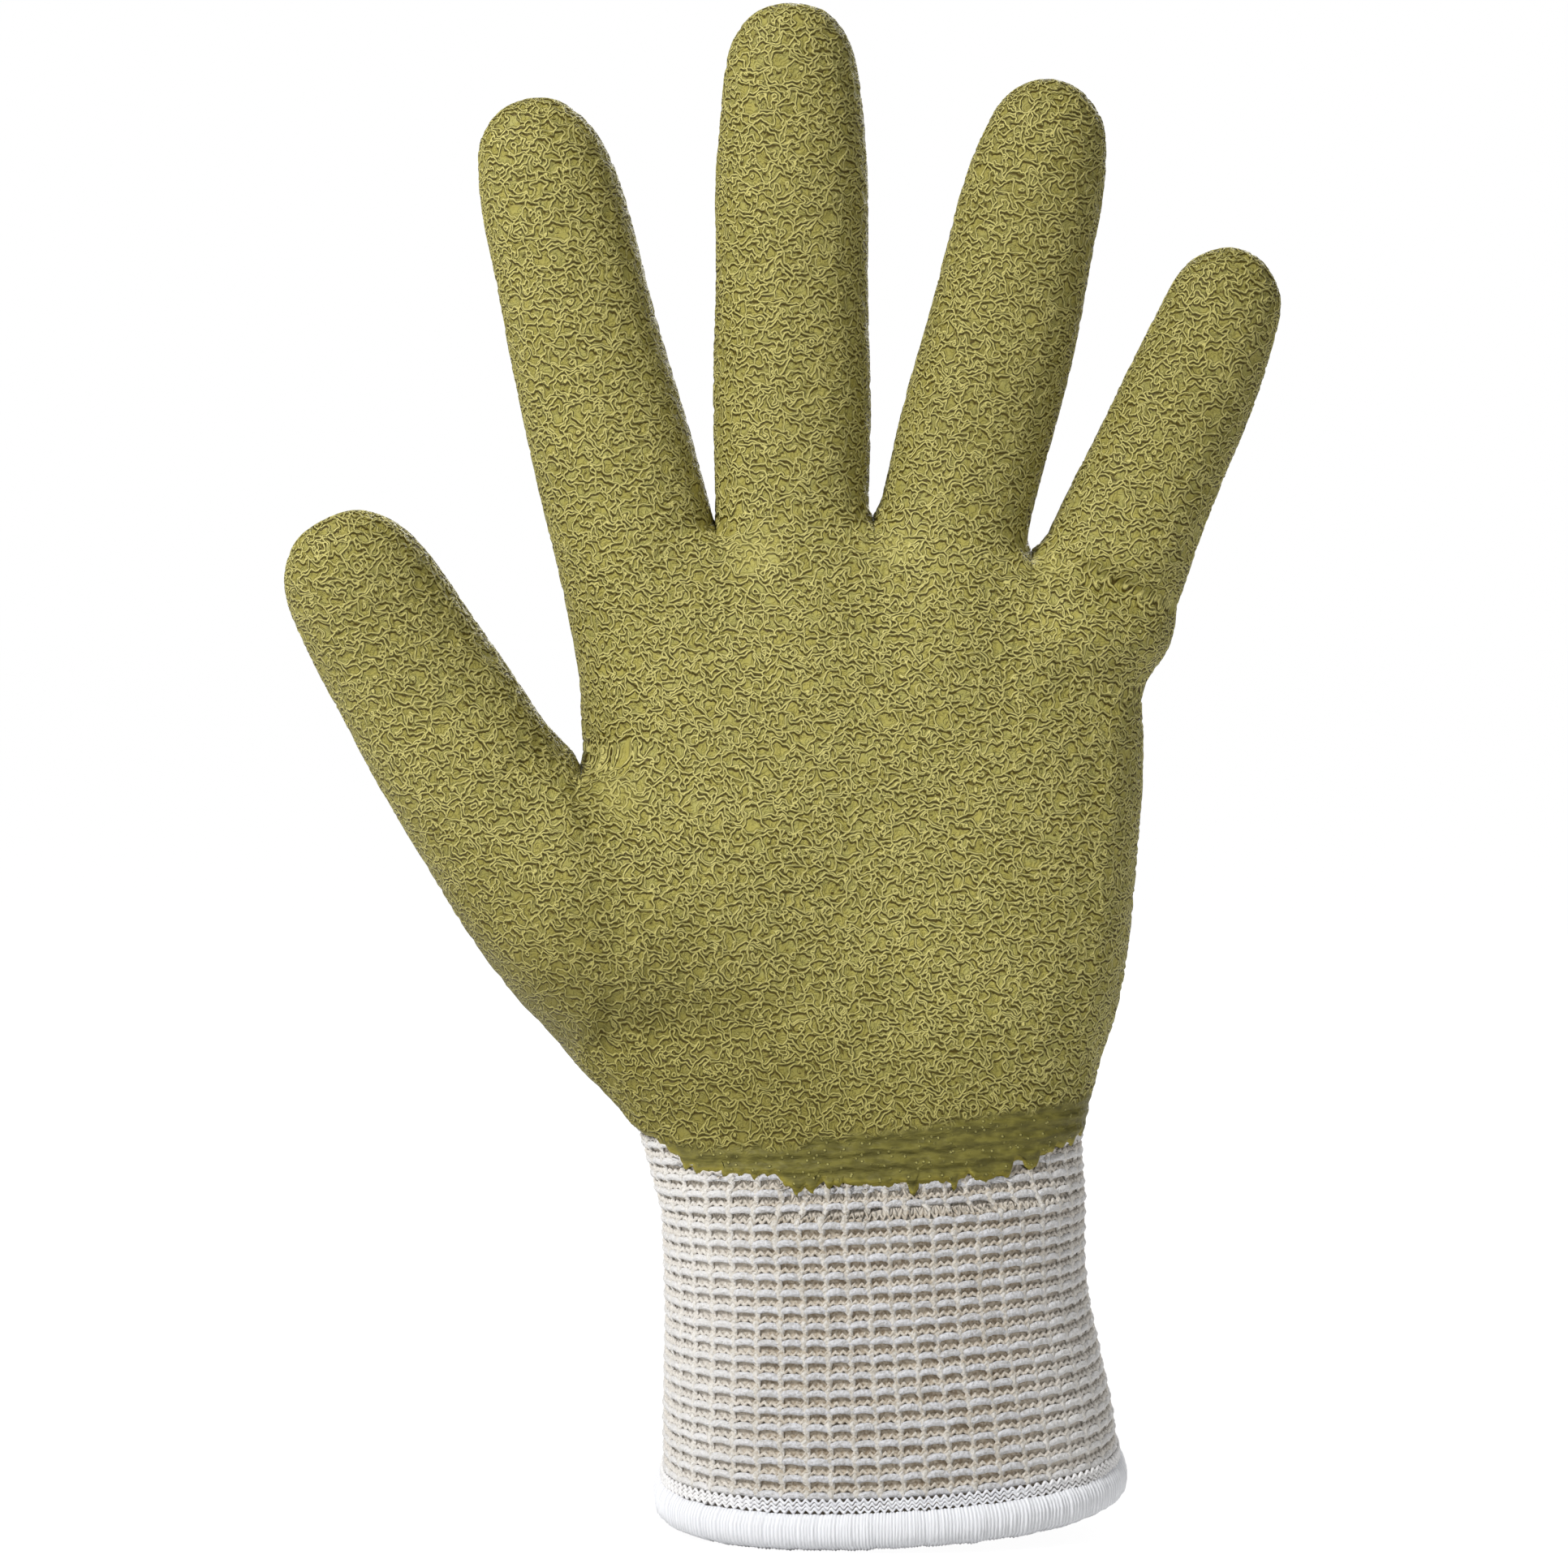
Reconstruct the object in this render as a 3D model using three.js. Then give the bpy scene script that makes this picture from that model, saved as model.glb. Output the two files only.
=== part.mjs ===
import * as THREE from "three";

// A knitted work glove for a left hand, with its palm dipped in crinkled latex.
// The cuff's mouth is centred on the origin, the fingers point along +Z, the palm faces -Y
// and the thumb lies towards -X. Sizes are in millimetres.

// The hand, across the knuckles, from the cuff to the middle finger's root, and through the palm.
const HAND_WIDTH = 91;
const PALM_LENGTH = 111;
const PALM_DEPTH = 36;

// The digits, each from its root to its tip and across its root.
const INDEX_LENGTH = 73;
const INDEX_WIDTH = 25.8;
const MIDDLE_LENGTH = 82.4;
const MIDDLE_WIDTH = 24.9;
const RING_LENGTH = 74.2;
const RING_WIDTH = 24.3;
const LITTLE_LENGTH = 57.2;
const LITTLE_WIDTH = 23.5;
const THUMB_LENGTH = 44.4;
const THUMB_WIDTH = 27.8;

// The cuff, from its mouth to the palm, and its oval at the wrist and at the mouth.
const CUFF_LENGTH = 49;
const WRIST_WIDTH = 67.4;
const WRIST_DEPTH = 46;
const MOUTH_WIDTH = 72.4;
const MOUTH_DEPTH = 52;

// The overlocked hem: its height, how far it covers the cuff, and how proud it stands.
const HEM_HEIGHT = 5.7;
const HEM_COVER = 3.4;
const HEM_BULGE = 2.1;

// Layers of the wall.
const COATING = 0.9;
const STRETCHED_COATING = 0.6;
const LINER_WALL = 1.2;
const CUFF_WALL = 1.8;
const GAP = 0.3;

// How far the coating's lower edge hangs down the wrist in the middle, and the palm's hollow.
const COATING_DIP = 10.9;
const PALM_HOLLOW = 2.5;

// The cuff's rows climb towards +X, and its mouth hangs lower at the front, in degrees.
const CUFF_CLIMB = 2.9;
const MOUTH_TILT = 7;

const DIGIT_STEPS = 6;
const PALM_STEPS = 4 * DIGIT_STEPS;

function rows(columns, table) {
  return table.map((values) => Object.fromEntries(columns.map((name, i) => [name, values[i]])));
}

// The palm from the finger roots down to the cuff. Across is a share of HAND_WIDTH, up of
// PALM_LENGTH above the cuff, front and back of PALM_DEPTH. Lobes says how much of the fingers'
// roundness is left, dip is a share of COATING_DIP, and fold of the crease by the little finger.
const PALM = rows(
  ["leftAcross", "leftUp", "rightAcross", "rightUp", "front", "back", "lobes", "dip", "fold"],
  [
    [-0.593, 0.937, 0.505, 0.868, 0.330, 0.320, 1.00, 0.00, -0.055],
    [-0.570, 0.847, 0.491, 0.812, 0.385, 0.365, 0.52, 0.00, 0.065],
    [-0.554, 0.768, 0.449, 0.757, 0.415, 0.390, 0.20, 0.00, -0.045],
    [-0.550, 0.697, 0.447, 0.697, 0.435, 0.405, 0.05, 0.00, -0.010],
    [-0.552, 0.641, 0.447, 0.639, 0.455, 0.415, 0.00, 0.00, 0.000],
    [-0.536, 0.594, 0.445, 0.594, 0.480, 0.425, 0.00, 0.00, 0.000],
    [-0.510, 0.518, 0.438, 0.518, 0.500, 0.435, 0.00, 0.00, 0.000],
    [-0.497, 0.429, 0.429, 0.429, 0.515, 0.445, 0.00, 0.00, 0.000],
    [-0.508, 0.340, 0.416, 0.340, 0.525, 0.460, 0.00, 0.00, 0.000],
    [-0.543, 0.264, 0.396, 0.264, 0.540, 0.480, 0.00, 0.03, 0.000],
    [-0.575, 0.217, 0.376, 0.217, 0.555, 0.505, 0.00, 0.16, 0.000],
    [-0.501, 0.159, 0.360, 0.164, 0.575, 0.540, 0.00, 0.50, 0.000],
    [-0.462, 0.123, 0.347, 0.109, 0.600, 0.575, 0.00, 1.00, 0.000],
  ],
);

// The thumb leaves the side of the palm from the first row without lobes.
const THUMB_TOP_ROW = PALM.findIndex((row) => row.lobes === 0);
const THUMB_END_ROW = THUMB_TOP_ROW + DIGIT_STEPS;

// The crotches between the fingers, as shares of HAND_WIDTH and PALM_LENGTH.
const CROTCHES = rows(
  ["across", "up"],
  [
    [-0.314, 0.990],
    [-0.033, 1.000],
    [0.248, 0.952],
  ],
);

// The thumb fans out from the side of the palm until it is round. Across and up are shares of
// HAND_WIDTH and PALM_LENGTH, front and back of PALM_DEPTH, and forward too.
const THUMB_FAN = rows(
  ["leftAcross", "leftUp", "rightAcross", "rightUp", "front", "back", "forward", "bow"],
  [
    [-0.660, 0.299, -0.566, 0.657, 0.530, 0.405, 0.09, 0.60],
    [-0.744, 0.395, -0.583, 0.673, 0.450, 0.385, 0.14, 0.30],
    [-0.819, 0.496, -0.600, 0.690, 0.385, 0.365, 0.19, 0.10],
    [-0.885, 0.589, -0.616, 0.705, 0.345, 0.345, 0.24, 0.00],
  ],
);
const THUMB_ROOT_FRONT = 0.595;
const THUMB_ROOT_BACK = 0.415;

// Each digit above its root. Along is a share of its length, width and shift of its width.
const DIGIT_COLUMNS = ["along", "width", "shift"];
const DIGIT_THICKNESS = 0.86;
const DIGITS = [
  {
    name: "index",
    length: INDEX_LENGTH,
    width: INDEX_WIDTH,
    lean: 13.2,
    curl: 0.10,
    rows: rows(DIGIT_COLUMNS, [
      [0.05, 1.000, -0.008],
      [0.20, 0.988, -0.015],
      [0.35, 0.955, -0.023],
      [0.50, 0.918, -0.026],
      [0.65, 0.890, -0.018],
      [0.78, 0.860, -0.020],
      [0.88, 0.765, -0.025],
      [0.94, 0.615, -0.038],
      [0.98, 0.390, -0.036],
    ]),
  },
  {
    name: "middle",
    length: MIDDLE_LENGTH,
    width: MIDDLE_WIDTH,
    lean: 0,
    curl: 0.12,
    rows: rows(DIGIT_COLUMNS, [
      [0.05, 0.976, -0.013],
      [0.20, 1.000, -0.012],
      [0.35, 0.985, -0.016],
      [0.50, 0.960, -0.013],
      [0.65, 0.965, -0.016],
      [0.78, 0.902, -0.013],
      [0.88, 0.825, -0.018],
      [0.94, 0.690, -0.020],
      [0.98, 0.460, -0.018],
    ]),
  },
  {
    name: "ring",
    length: RING_LENGTH,
    width: RING_WIDTH,
    lean: -13,
    curl: 0.13,
    rows: rows(DIGIT_COLUMNS, [
      [0.05, 0.980, -0.011],
      [0.20, 0.988, -0.009],
      [0.35, 0.990, 0.007],
      [0.50, 0.963, 0.016],
      [0.65, 0.930, 0.006],
      [0.78, 0.885, 0.007],
      [0.88, 0.780, 0.008],
      [0.94, 0.635, 0.005],
      [0.98, 0.385, 0.000],
    ]),
  },
  {
    name: "little",
    length: LITTLE_LENGTH,
    width: LITTLE_WIDTH,
    lean: -23.3,
    curl: 0.12,
    rows: rows(DIGIT_COLUMNS, [
      [0.05, 1.000, 0.024],
      [0.20, 0.945, 0.017],
      [0.35, 0.906, 0.021],
      [0.50, 0.883, 0.023],
      [0.65, 0.851, 0.024],
      [0.78, 0.792, 0.013],
      [0.88, 0.720, 0.004],
      [0.94, 0.565, 0.002],
      [0.98, 0.335, -0.004],
    ]),
  },
];
const THUMB = {
  name: "thumb",
  length: THUMB_LENGTH,
  width: THUMB_WIDTH,
  lean: 27.6,
  curl: 0.20,
  rows: rows(DIGIT_COLUMNS, [
    [0.20, 0.970, -0.017],
    [0.35, 0.938, -0.029],
    [0.50, 0.908, -0.041],
    [0.65, 0.874, -0.047],
    [0.78, 0.815, -0.054],
    [0.88, 0.695, -0.056],
    [0.94, 0.540, -0.054],
    [0.98, 0.360, -0.054],
  ]),
};

// The cuff below the palm. Up is a share of CUFF_LENGTH, flare goes from the wrist's oval to the
// mouth's, and swell bulges or narrows it by a share of WRIST_WIDTH.
const CUFF = rows(
  ["up", "flare", "swell"],
  [
    [1.00, 0.00, 0.000],
    [0.89, 0.02, -0.002],
    [0.76, 0.08, -0.006],
    [0.62, 0.22, -0.006],
    [0.47, 0.45, -0.003],
    [0.32, 0.70, 0.000],
    [0.17, 0.92, 0.001],
    [0.00, 1.00, 0.004],
  ],
);
const CUFF_ACROSS_TOP = -0.031;
const CUFF_ACROSS_MOUTH = 0;

// The skin of the whole glove is one net of points. Every layer is an offset of it.
const points = [];

function addPoint(x, y, z) {
  points.push(new THREE.Vector3(x, y, z));
  return points.length - 1;
}

function mix(a, b, share) {
  return a + (b - a) * share;
}

function smooth(low, high, value) {
  const share = Math.min(1, Math.max(0, (value - low) / (high - low)));
  return share * share * (3 - 2 * share);
}

// One place on a digit's rounded section, going from its left edge over the front or the back.
const ROUNDNESS = 2.17;

function roundOut(across) {
  return Math.max(0, 1 - Math.abs(across) ** ROUNDNESS) ** (1 / ROUNDNESS);
}

const SPACING = Array.from({ length: DIGIT_STEPS + 1 }, (_, step) => {
  const cosine = Math.cos((Math.PI * step) / DIGIT_STEPS);
  return step * 2 === DIGIT_STEPS ? 0 : -Math.sign(cosine) * Math.abs(cosine) ** (2 / ROUNDNESS);
});
const THUMB_SPACING = [-1, -0.78, -0.42, 0, 0.42, 0.78, 1];

// The oval of the wrist, with its steps of equal length, as shares from the left to the right.
const OVAL_POWER = 2.3;

function ovalOut(share) {
  const side = Math.min(1, Math.abs(2 * share - 1));
  return (1 - side ** OVAL_POWER) ** (1 / OVAL_POWER);
}

function equalSteps(width, depth, count) {
  const fine = 4000;
  const lengths = [0];
  for (let i = 1; i <= fine; i += 1) {
    const across = width / fine;
    const out = depth * (ovalOut(i / fine) - ovalOut((i - 1) / fine));
    lengths.push(lengths[i - 1] + Math.hypot(across, out));
  }
  const shares = [];
  let i = 0;
  for (let step = 0; step <= count; step += 1) {
    const wanted = (lengths[fine] * step) / count;
    while (i < fine && lengths[i] < wanted) {
      i += 1;
    }
    shares.push(i / fine);
  }
  return shares;
}

const OVAL_SHARES = equalSteps(WRIST_WIDTH, WRIST_DEPTH / 2, PALM_STEPS);

// The finger roots, from edge to edge of the palm's first row.
function palmPlace(across, up) {
  return { x: across * HAND_WIDTH, z: CUFF_LENGTH + up * PALM_LENGTH };
}

const ROOTS = [
  palmPlace(PALM[0].leftAcross, PALM[0].leftUp),
  ...CROTCHES.map((crotch) => palmPlace(crotch.across, crotch.up)),
  palmPlace(PALM[0].rightAcross, PALM[0].rightUp),
];

function digitAxis(digit) {
  const lean = THREE.MathUtils.degToRad(digit.lean);
  return {
    up: { x: -Math.sin(lean), z: Math.cos(lean) },
    right: { x: Math.cos(lean), z: Math.sin(lean) },
  };
}

function halfThickness(digit, widthShare) {
  return (digit.width * widthShare * DIGIT_THICKNESS) / 2;
}

// The palm's rows of points, front and back. They meet at the outline and at the crotches.
const PALM_CENTRE = -1.5;
const rootRow = [];
for (let k = 0; k <= PALM_STEPS; k += 1) {
  const finger = Math.min(3, Math.floor(k / DIGIT_STEPS));
  const across = SPACING[k - finger * DIGIT_STEPS];
  const share = (across + 1) / 2;
  rootRow.push({
    x: mix(ROOTS[finger].x, ROOTS[finger + 1].x, share),
    z: mix(ROOTS[finger].z, ROOTS[finger + 1].z, share),
    out: roundOut(across),
    depth: halfThickness(DIGITS[finger], 1),
  });
}
const rootSpan = rootRow[PALM_STEPS].x - rootRow[0].x;
const rootShares = rootRow.map((place) => (place.x - rootRow[0].x) / rootSpan);
const rootArch = rootRow.map(
  (place, k) => place.z - mix(rootRow[0].z, rootRow[PALM_STEPS].z, rootShares[k]),
);

function palmDepth(row, r, share, k, side) {
  const full = row[side] * PALM_DEPTH;
  let depth = full * ovalOut(share);
  if (r > THUMB_TOP_ROW && r < THUMB_END_ROW && share < 0.5) {
    const rootDepth = (side === "front" ? THUMB_ROOT_FRONT : THUMB_ROOT_BACK) * PALM_DEPTH;
    const bulge = roundOut(THUMB_SPACING[r - THUMB_TOP_ROW]) * rootDepth;
    depth = mix(bulge, full, smooth(0, 0.5, share));
  }
  depth = mix(depth, rootRow[k].out * rootRow[k].depth, row.lobes);
  if (side === "front") {
    const across = Math.exp(-(((share - 0.52) / 0.2) ** 2));
    const along = Math.exp(-(((r - PALM.length / 2) / (PALM.length / 5)) ** 2));
    depth -= PALM_HOLLOW * across * along;
    const byLittle = smooth(0.74, 0.9, share) * Math.sqrt(Math.max(0, ovalOut(share)));
    depth += row.fold * PALM_DEPTH * byLittle * (rootRow[k].out < 0.01 && r === 0 ? 0 : 1);
  }
  return depth;
}

const front = [];
const back = [];
PALM.forEach((row, r) => {
  const left = palmPlace(row.leftAcross, row.leftUp);
  const right = palmPlace(row.rightAcross, row.rightUp);
  const centre = PALM_CENTRE * (1 - r / PALM.length);
  const even = smooth(0, THUMB_TOP_ROW, r);
  const oval = smooth(THUMB_END_ROW - 2, PALM.length, r);
  const arch = [1, 0.8, 0.5, 0.25, 0.1][r] ?? 0;
  front.push([]);
  back.push([]);
  for (let k = 0; k <= PALM_STEPS; k += 1) {
    const share = mix(mix(rootShares[k], k / PALM_STEPS, even), OVAL_SHARES[k], oval);
    const x = mix(left.x, right.x, share);
    const z = mix(left.z, right.z, share) + arch * rootArch[k];
    const dip = row.dip * COATING_DIP * Math.max(0, 4 * share * (1 - share)) ** 0.6;
    const onThumb = k === 0 && r > THUMB_TOP_ROW && r < THUMB_END_ROW;
    const onEdge = (k === 0 && !onThumb) || k === PALM_STEPS;
    const onCrotch = r === 0 && k % DIGIT_STEPS === 0;
    if (onEdge || onCrotch) {
      const id = addPoint(x, centre, z);
      front[r].push(id);
      back[r].push(id);
    } else {
      const shallow = palmDepth(row, r, share, k, "front");
      const deep = palmDepth(row, r, share, k, "back");
      front[r].push(addPoint(x, centre - shallow, z - dip));
      back[r].push(addPoint(x, centre + deep, z));
    }
  }
});

// Closed rings of points down the cuff.
const LOOP = 2 * PALM_STEPS;

function cuffRing(row, lower) {
  const width = mix(WRIST_WIDTH, MOUTH_WIDTH, row.flare) + 2 * row.swell * WRIST_WIDTH;
  const depth = mix(WRIST_DEPTH, MOUTH_DEPTH, row.flare) + 2 * row.swell * WRIST_WIDTH;
  const middle = mix(CUFF_ACROSS_TOP, CUFF_ACROSS_MOUTH, row.flare) * HAND_WIDTH;
  const hemLift = HEM_HEIGHT - HEM_COVER;
  const height = mix(hemLift, CUFF_LENGTH, row.up) - lower;
  const climb = Math.tan(THREE.MathUtils.degToRad(CUFF_CLIMB));
  const tilt = Math.tan(THREE.MathUtils.degToRad(MOUTH_TILT)) * (1 - row.up);
  const ring = [];
  for (let i = 0; i < LOOP; i += 1) {
    const behind = i > PALM_STEPS;
    const share = OVAL_SHARES[behind ? LOOP - i : i];
    const x = middle + (share - 0.5) * width;
    const y = (behind ? 1 : -1) * ovalOut(share) * (depth / 2);
    ring.push(addPoint(x, y, height + (x - middle) * climb + y * tilt));
  }
  return ring;
}

const palmEnd = cuffRing(CUFF[0], 0);
const cuffRings = [cuffRing(CUFF[0], GAP), ...CUFF.slice(1).map((row) => cuffRing(row, 0))];
front.push(Array.from({ length: PALM_STEPS + 1 }, (_, k) => palmEnd[k]));
back.push(Array.from({ length: PALM_STEPS + 1 }, (_, k) => palmEnd[(LOOP - k) % LOOP]));

// Rings of points round a digit: left edge, over the front to the right edge, and back behind.
const RING = 2 * DIGIT_STEPS;

function digitRing(place) {
  const ring = [];
  for (let j = 0; j < RING; j += 1) {
    const behind = j > DIGIT_STEPS;
    const step = behind ? RING - j : j;
    const across = mix(SPACING[step], THUMB_SPACING[step], place.spread ?? 0);
    const share = (across + 1) / 2;
    const out = roundOut(across) * (behind ? place.back : -place.front);
    const bow = place.bow ? place.bow(share) : { x: 0, z: 0 };
    const x = mix(place.left.x, place.right.x, share) + bow.x;
    const z = mix(place.left.z, place.right.z, share) + bow.z;
    ring.push(addPoint(x, place.centre + out, z));
  }
  return ring;
}

function straightPlace(digit, root, along, widthShare, shiftShare) {
  const axis = digitAxis(digit);
  const travel = along * digit.length;
  const shift = shiftShare * digit.width;
  const half = (widthShare * digit.width) / 2;
  const x = root.x + axis.up.x * travel + axis.right.x * shift;
  const z = root.z + axis.up.z * travel + axis.right.z * shift;
  const thick = halfThickness(digit, widthShare);
  return {
    left: { x: x - axis.right.x * half, z: z - axis.right.z * half },
    right: { x: x + axis.right.x * half, z: z + axis.right.z * half },
    centre: root.centre - digit.curl * digit.length * along * along - root.forward * along,
    front: thick,
    back: thick,
  };
}

function digitRings(digit, root, firstRings) {
  const rings = [...firstRings];
  digit.rows.forEach((row, i) => {
    const place = straightPlace(digit, root, row.along, row.width, row.shift);
    rings.push(digitRing(place));
    if (i === 0 && firstRings.length === 1) {
      const above = row.along + GAP / digit.length;
      rings.push(digitRing(straightPlace(digit, root, above, row.width, row.shift)));
    }
  });
  const tip = straightPlace(digit, root, 1, 0, digit.rows[digit.rows.length - 1].shift);
  return { rings, tip: addPoint(tip.left.x, tip.centre, tip.left.z) };
}

const digits = DIGITS.map((digit, finger) => {
  const start = finger * DIGIT_STEPS;
  const rootRing = [];
  for (let j = 0; j < RING; j += 1) {
    const behind = j > DIGIT_STEPS;
    rootRing.push(behind ? back[0][start + RING - j] : front[0][start + j]);
  }
  const root = {
    x: (ROOTS[finger].x + ROOTS[finger + 1].x) / 2,
    z: (ROOTS[finger].z + ROOTS[finger + 1].z) / 2,
    centre: PALM_CENTRE,
    forward: 0,
  };
  return { name: digit.name, seam: 1, ...digitRings(digit, root, [rootRing]) };
});

// The thumb starts on the side of the palm, where the front and the back part.
const thumbRoot = [];
for (let j = 0; j < RING; j += 1) {
  const row = THUMB_END_ROW - (j > DIGIT_STEPS ? RING - j : j);
  thumbRoot.push(j > DIGIT_STEPS ? back[row][0] : front[row][0]);
}

function thumbBow(share) {
  const row = mix(THUMB_END_ROW, THUMB_TOP_ROW, share);
  const below = palmPlace(PALM[THUMB_END_ROW].leftAcross, PALM[THUMB_END_ROW].leftUp);
  const above = palmPlace(PALM[THUMB_TOP_ROW].leftAcross, PALM[THUMB_TOP_ROW].leftUp);
  const near = PALM[Math.round(row)];
  const place = palmPlace(near.leftAcross, near.leftUp);
  const straight = (place.z - below.z) / (above.z - below.z);
  return place.x - mix(below.x, above.x, straight);
}

const thumbRings = [thumbRoot];
let thumbBase = null;
THUMB_FAN.forEach((row) => {
  const place = {
    left: palmPlace(row.leftAcross, row.leftUp),
    right: palmPlace(row.rightAcross, row.rightUp),
    centre: PALM_CENTRE - row.forward * PALM_DEPTH,
    front: row.front * PALM_DEPTH,
    back: row.back * PALM_DEPTH,
    bow: (share) => ({ x: row.bow * thumbBow(share), z: 0 }),
    spread: row.bow,
  };
  thumbRings.push(digitRing(place));
  thumbBase = place;
});
const thumbCentre = {
  x: (thumbBase.left.x + thumbBase.right.x) / 2,
  z: (thumbBase.left.z + thumbBase.right.z) / 2,
  centre: thumbBase.centre,
  forward: 3,
};
const thumbAxis = digitAxis(THUMB);
const lift = { x: thumbAxis.up.x * GAP, z: thumbAxis.up.z * GAP };
thumbRings.push(
  digitRing({
    ...thumbBase,
    left: { x: thumbBase.left.x + lift.x, z: thumbBase.left.z + lift.z },
    right: { x: thumbBase.right.x + lift.x, z: thumbBase.right.z + lift.z },
    bow: null,
  }),
);
digits.push({
  name: "thumb",
  seam: THUMB_FAN.length,
  ...digitRings(THUMB, thumbCentre, thumbRings),
});

// Faces between two rings of a digit, all round or only on some of its steps.
function ringFaces(lower, upper, steps) {
  return steps.map((j) => {
    const next = (j + 1) % RING;
    return [lower[j], lower[next], upper[next], upper[j]];
  });
}

const ALL_STEPS = Array.from({ length: RING }, (_, j) => j);
const COATED_STEPS = [RING - 1, 0, 1, 2, 3, 4, 5, 6];

function tipFaces(digit) {
  const last = digit.rings[digit.rings.length - 1];
  return ALL_STEPS.map((j) => [last[j], last[(j + 1) % RING], digit.tip]);
}

function digitFaces(digit, from, to) {
  const faces = [];
  for (let m = from; m < to; m += 1) {
    faces.push(...ringFaces(digit.rings[m], digit.rings[m + 1], ALL_STEPS));
  }
  return faces;
}

function frontFace(r, k) {
  return [front[r][k], front[r + 1][k], front[r + 1][k + 1], front[r][k + 1]];
}

function backFace(r, k) {
  return [back[r][k], back[r][k + 1], back[r + 1][k + 1], back[r + 1][k]];
}

const palmFaces = [];
for (let r = 0; r < PALM.length; r += 1) {
  for (let k = 0; k < PALM_STEPS; k += 1) {
    palmFaces.push(frontFace(r, k), backFace(r, k));
  }
}
digits.forEach((digit) => palmFaces.push(...digitFaces(digit, 0, digit.seam)));

const cuffFaces = [];
for (let q = 0; q + 1 < cuffRings.length; q += 1) {
  for (let i = 0; i < LOOP; i += 1) {
    const next = (i + 1) % LOOP;
    const upper = cuffRings[q];
    const lower = cuffRings[q + 1];
    cuffFaces.push([upper[i], lower[i], lower[next], upper[next]]);
  }
}

function stallFaces(digit) {
  return [...digitFaces(digit, digit.seam + 1, digit.rings.length - 1), ...tipFaces(digit)];
}

// The coating covers the front and the sides, goes over each tip, and laps one step behind.
const BARE_TIP_RINGS = 3;
const coatingFaces = [];
const coatedRows = PALM.length - 1;
for (let r = 0; r < coatedRows; r += 1) {
  for (let k = 0; k < PALM_STEPS; k += 1) {
    coatingFaces.push(frontFace(r, k));
  }
  coatingFaces.push(backFace(r, PALM_STEPS - 1));
  if (r <= THUMB_TOP_ROW || r >= THUMB_END_ROW - 1) {
    coatingFaces.push(backFace(r, 0));
  }
}
for (let k = DIGIT_STEPS; k < PALM_STEPS; k += DIGIT_STEPS) {
  coatingFaces.push(backFace(0, k - 1), backFace(0, k));
}
digits.forEach((digit) => {
  const kept = digit.rings.filter((_, m) => m !== digit.seam + 1);
  for (let m = 0; m + 1 < kept.length; m += 1) {
    const nearTip = m >= kept.length - 1 - BARE_TIP_RINGS;
    coatingFaces.push(...ringFaces(kept[m], kept[m + 1], nearTip ? ALL_STEPS : COATED_STEPS));
  }
  coatingFaces.push(...tipFaces(digit));
});

// The direction out of the glove at every point.
const seamFaces = [];
digits.forEach((digit) => seamFaces.push(...digitFaces(digit, digit.seam, digit.seam + 1)));
for (let i = 0; i < LOOP; i += 1) {
  const next = (i + 1) % LOOP;
  seamFaces.push([palmEnd[i], cuffRings[0][i], cuffRings[0][next], palmEnd[next]]);
}

const outward = points.map(() => new THREE.Vector3());

function gather(faces) {
  faces.forEach((face) => {
    face.forEach((id, i) => {
      const after = points[face[(i + 1) % face.length]].clone().sub(points[id]).normalize();
      const before = points[face[(i + face.length - 1) % face.length]].clone();
      before.sub(points[id]).normalize();
      const angle = after.angleTo(before);
      outward[id].addScaledVector(after.cross(before).normalize(), angle);
    });
  });
}

gather(palmFaces);
gather(cuffFaces);
gather(seamFaces);
digits.forEach((digit) => gather(stallFaces(digit)));
outward.forEach((direction) => direction.normalize());

// Two rings that face each other across a seam share one direction, so the seam keeps its width.
function shareDirection(a, b) {
  const both = outward[a].clone().add(outward[b]).normalize();
  outward[a].copy(both);
  outward[b].copy(both);
}

digits.forEach((digit) => {
  ALL_STEPS.forEach((j) => shareDirection(digit.rings[digit.seam][j], digit.rings[digit.seam + 1][j]));
});
palmEnd.forEach((id, i) => shareDirection(id, cuffRings[0][i]));

function distance(a, b) {
  return points[a].distanceTo(points[b]);
}

function triangles(face) {
  if (face.length === 3) {
    return [face];
  }
  const [a, b, c, d] = face;
  if (distance(a, c) <= distance(b, d)) {
    return [[a, b, c], [a, c, d]];
  }
  return [[a, b, d], [b, c, d]];
}

// A wall between two depths under the skin, closed along its open edges.
function wall(faces, outerDepth, innerDepth) {
  const places = [];
  const outerIds = new Map();
  const innerIds = new Map();
  function vertex(ids, id, depth) {
    if (!ids.has(id)) {
      const place = points[id].clone().addScaledVector(outward[id], -depth(id));
      ids.set(id, places.length / 3);
      places.push(place.x, place.y, place.z);
    }
    return ids.get(id);
  }
  const outer = (id) => vertex(outerIds, id, outerDepth);
  const inner = (id) => vertex(innerIds, id, innerDepth);
  const index = [];
  const edges = new Set();
  faces.flatMap(triangles).forEach(([a, b, c]) => {
    index.push(outer(a), outer(b), outer(c));
    index.push(inner(a), inner(c), inner(b));
    edges.add(`${a} ${b}`).add(`${b} ${c}`).add(`${c} ${a}`);
  });
  edges.forEach((edge) => {
    const [a, b] = edge.split(" ").map(Number);
    if (!edges.has(`${b} ${a}`)) {
      index.push(outer(b), outer(a), inner(a));
      index.push(outer(b), inner(a), inner(b));
    }
  });
  return closedGeometry(places, index);
}

function closedGeometry(places, index) {
  const geometry = new THREE.BufferGeometry();
  geometry.setAttribute("position", new THREE.Float32BufferAttribute(places, 3));
  geometry.setIndex(index);
  geometry.computeVertexNormals();
  return geometry;
}

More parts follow.
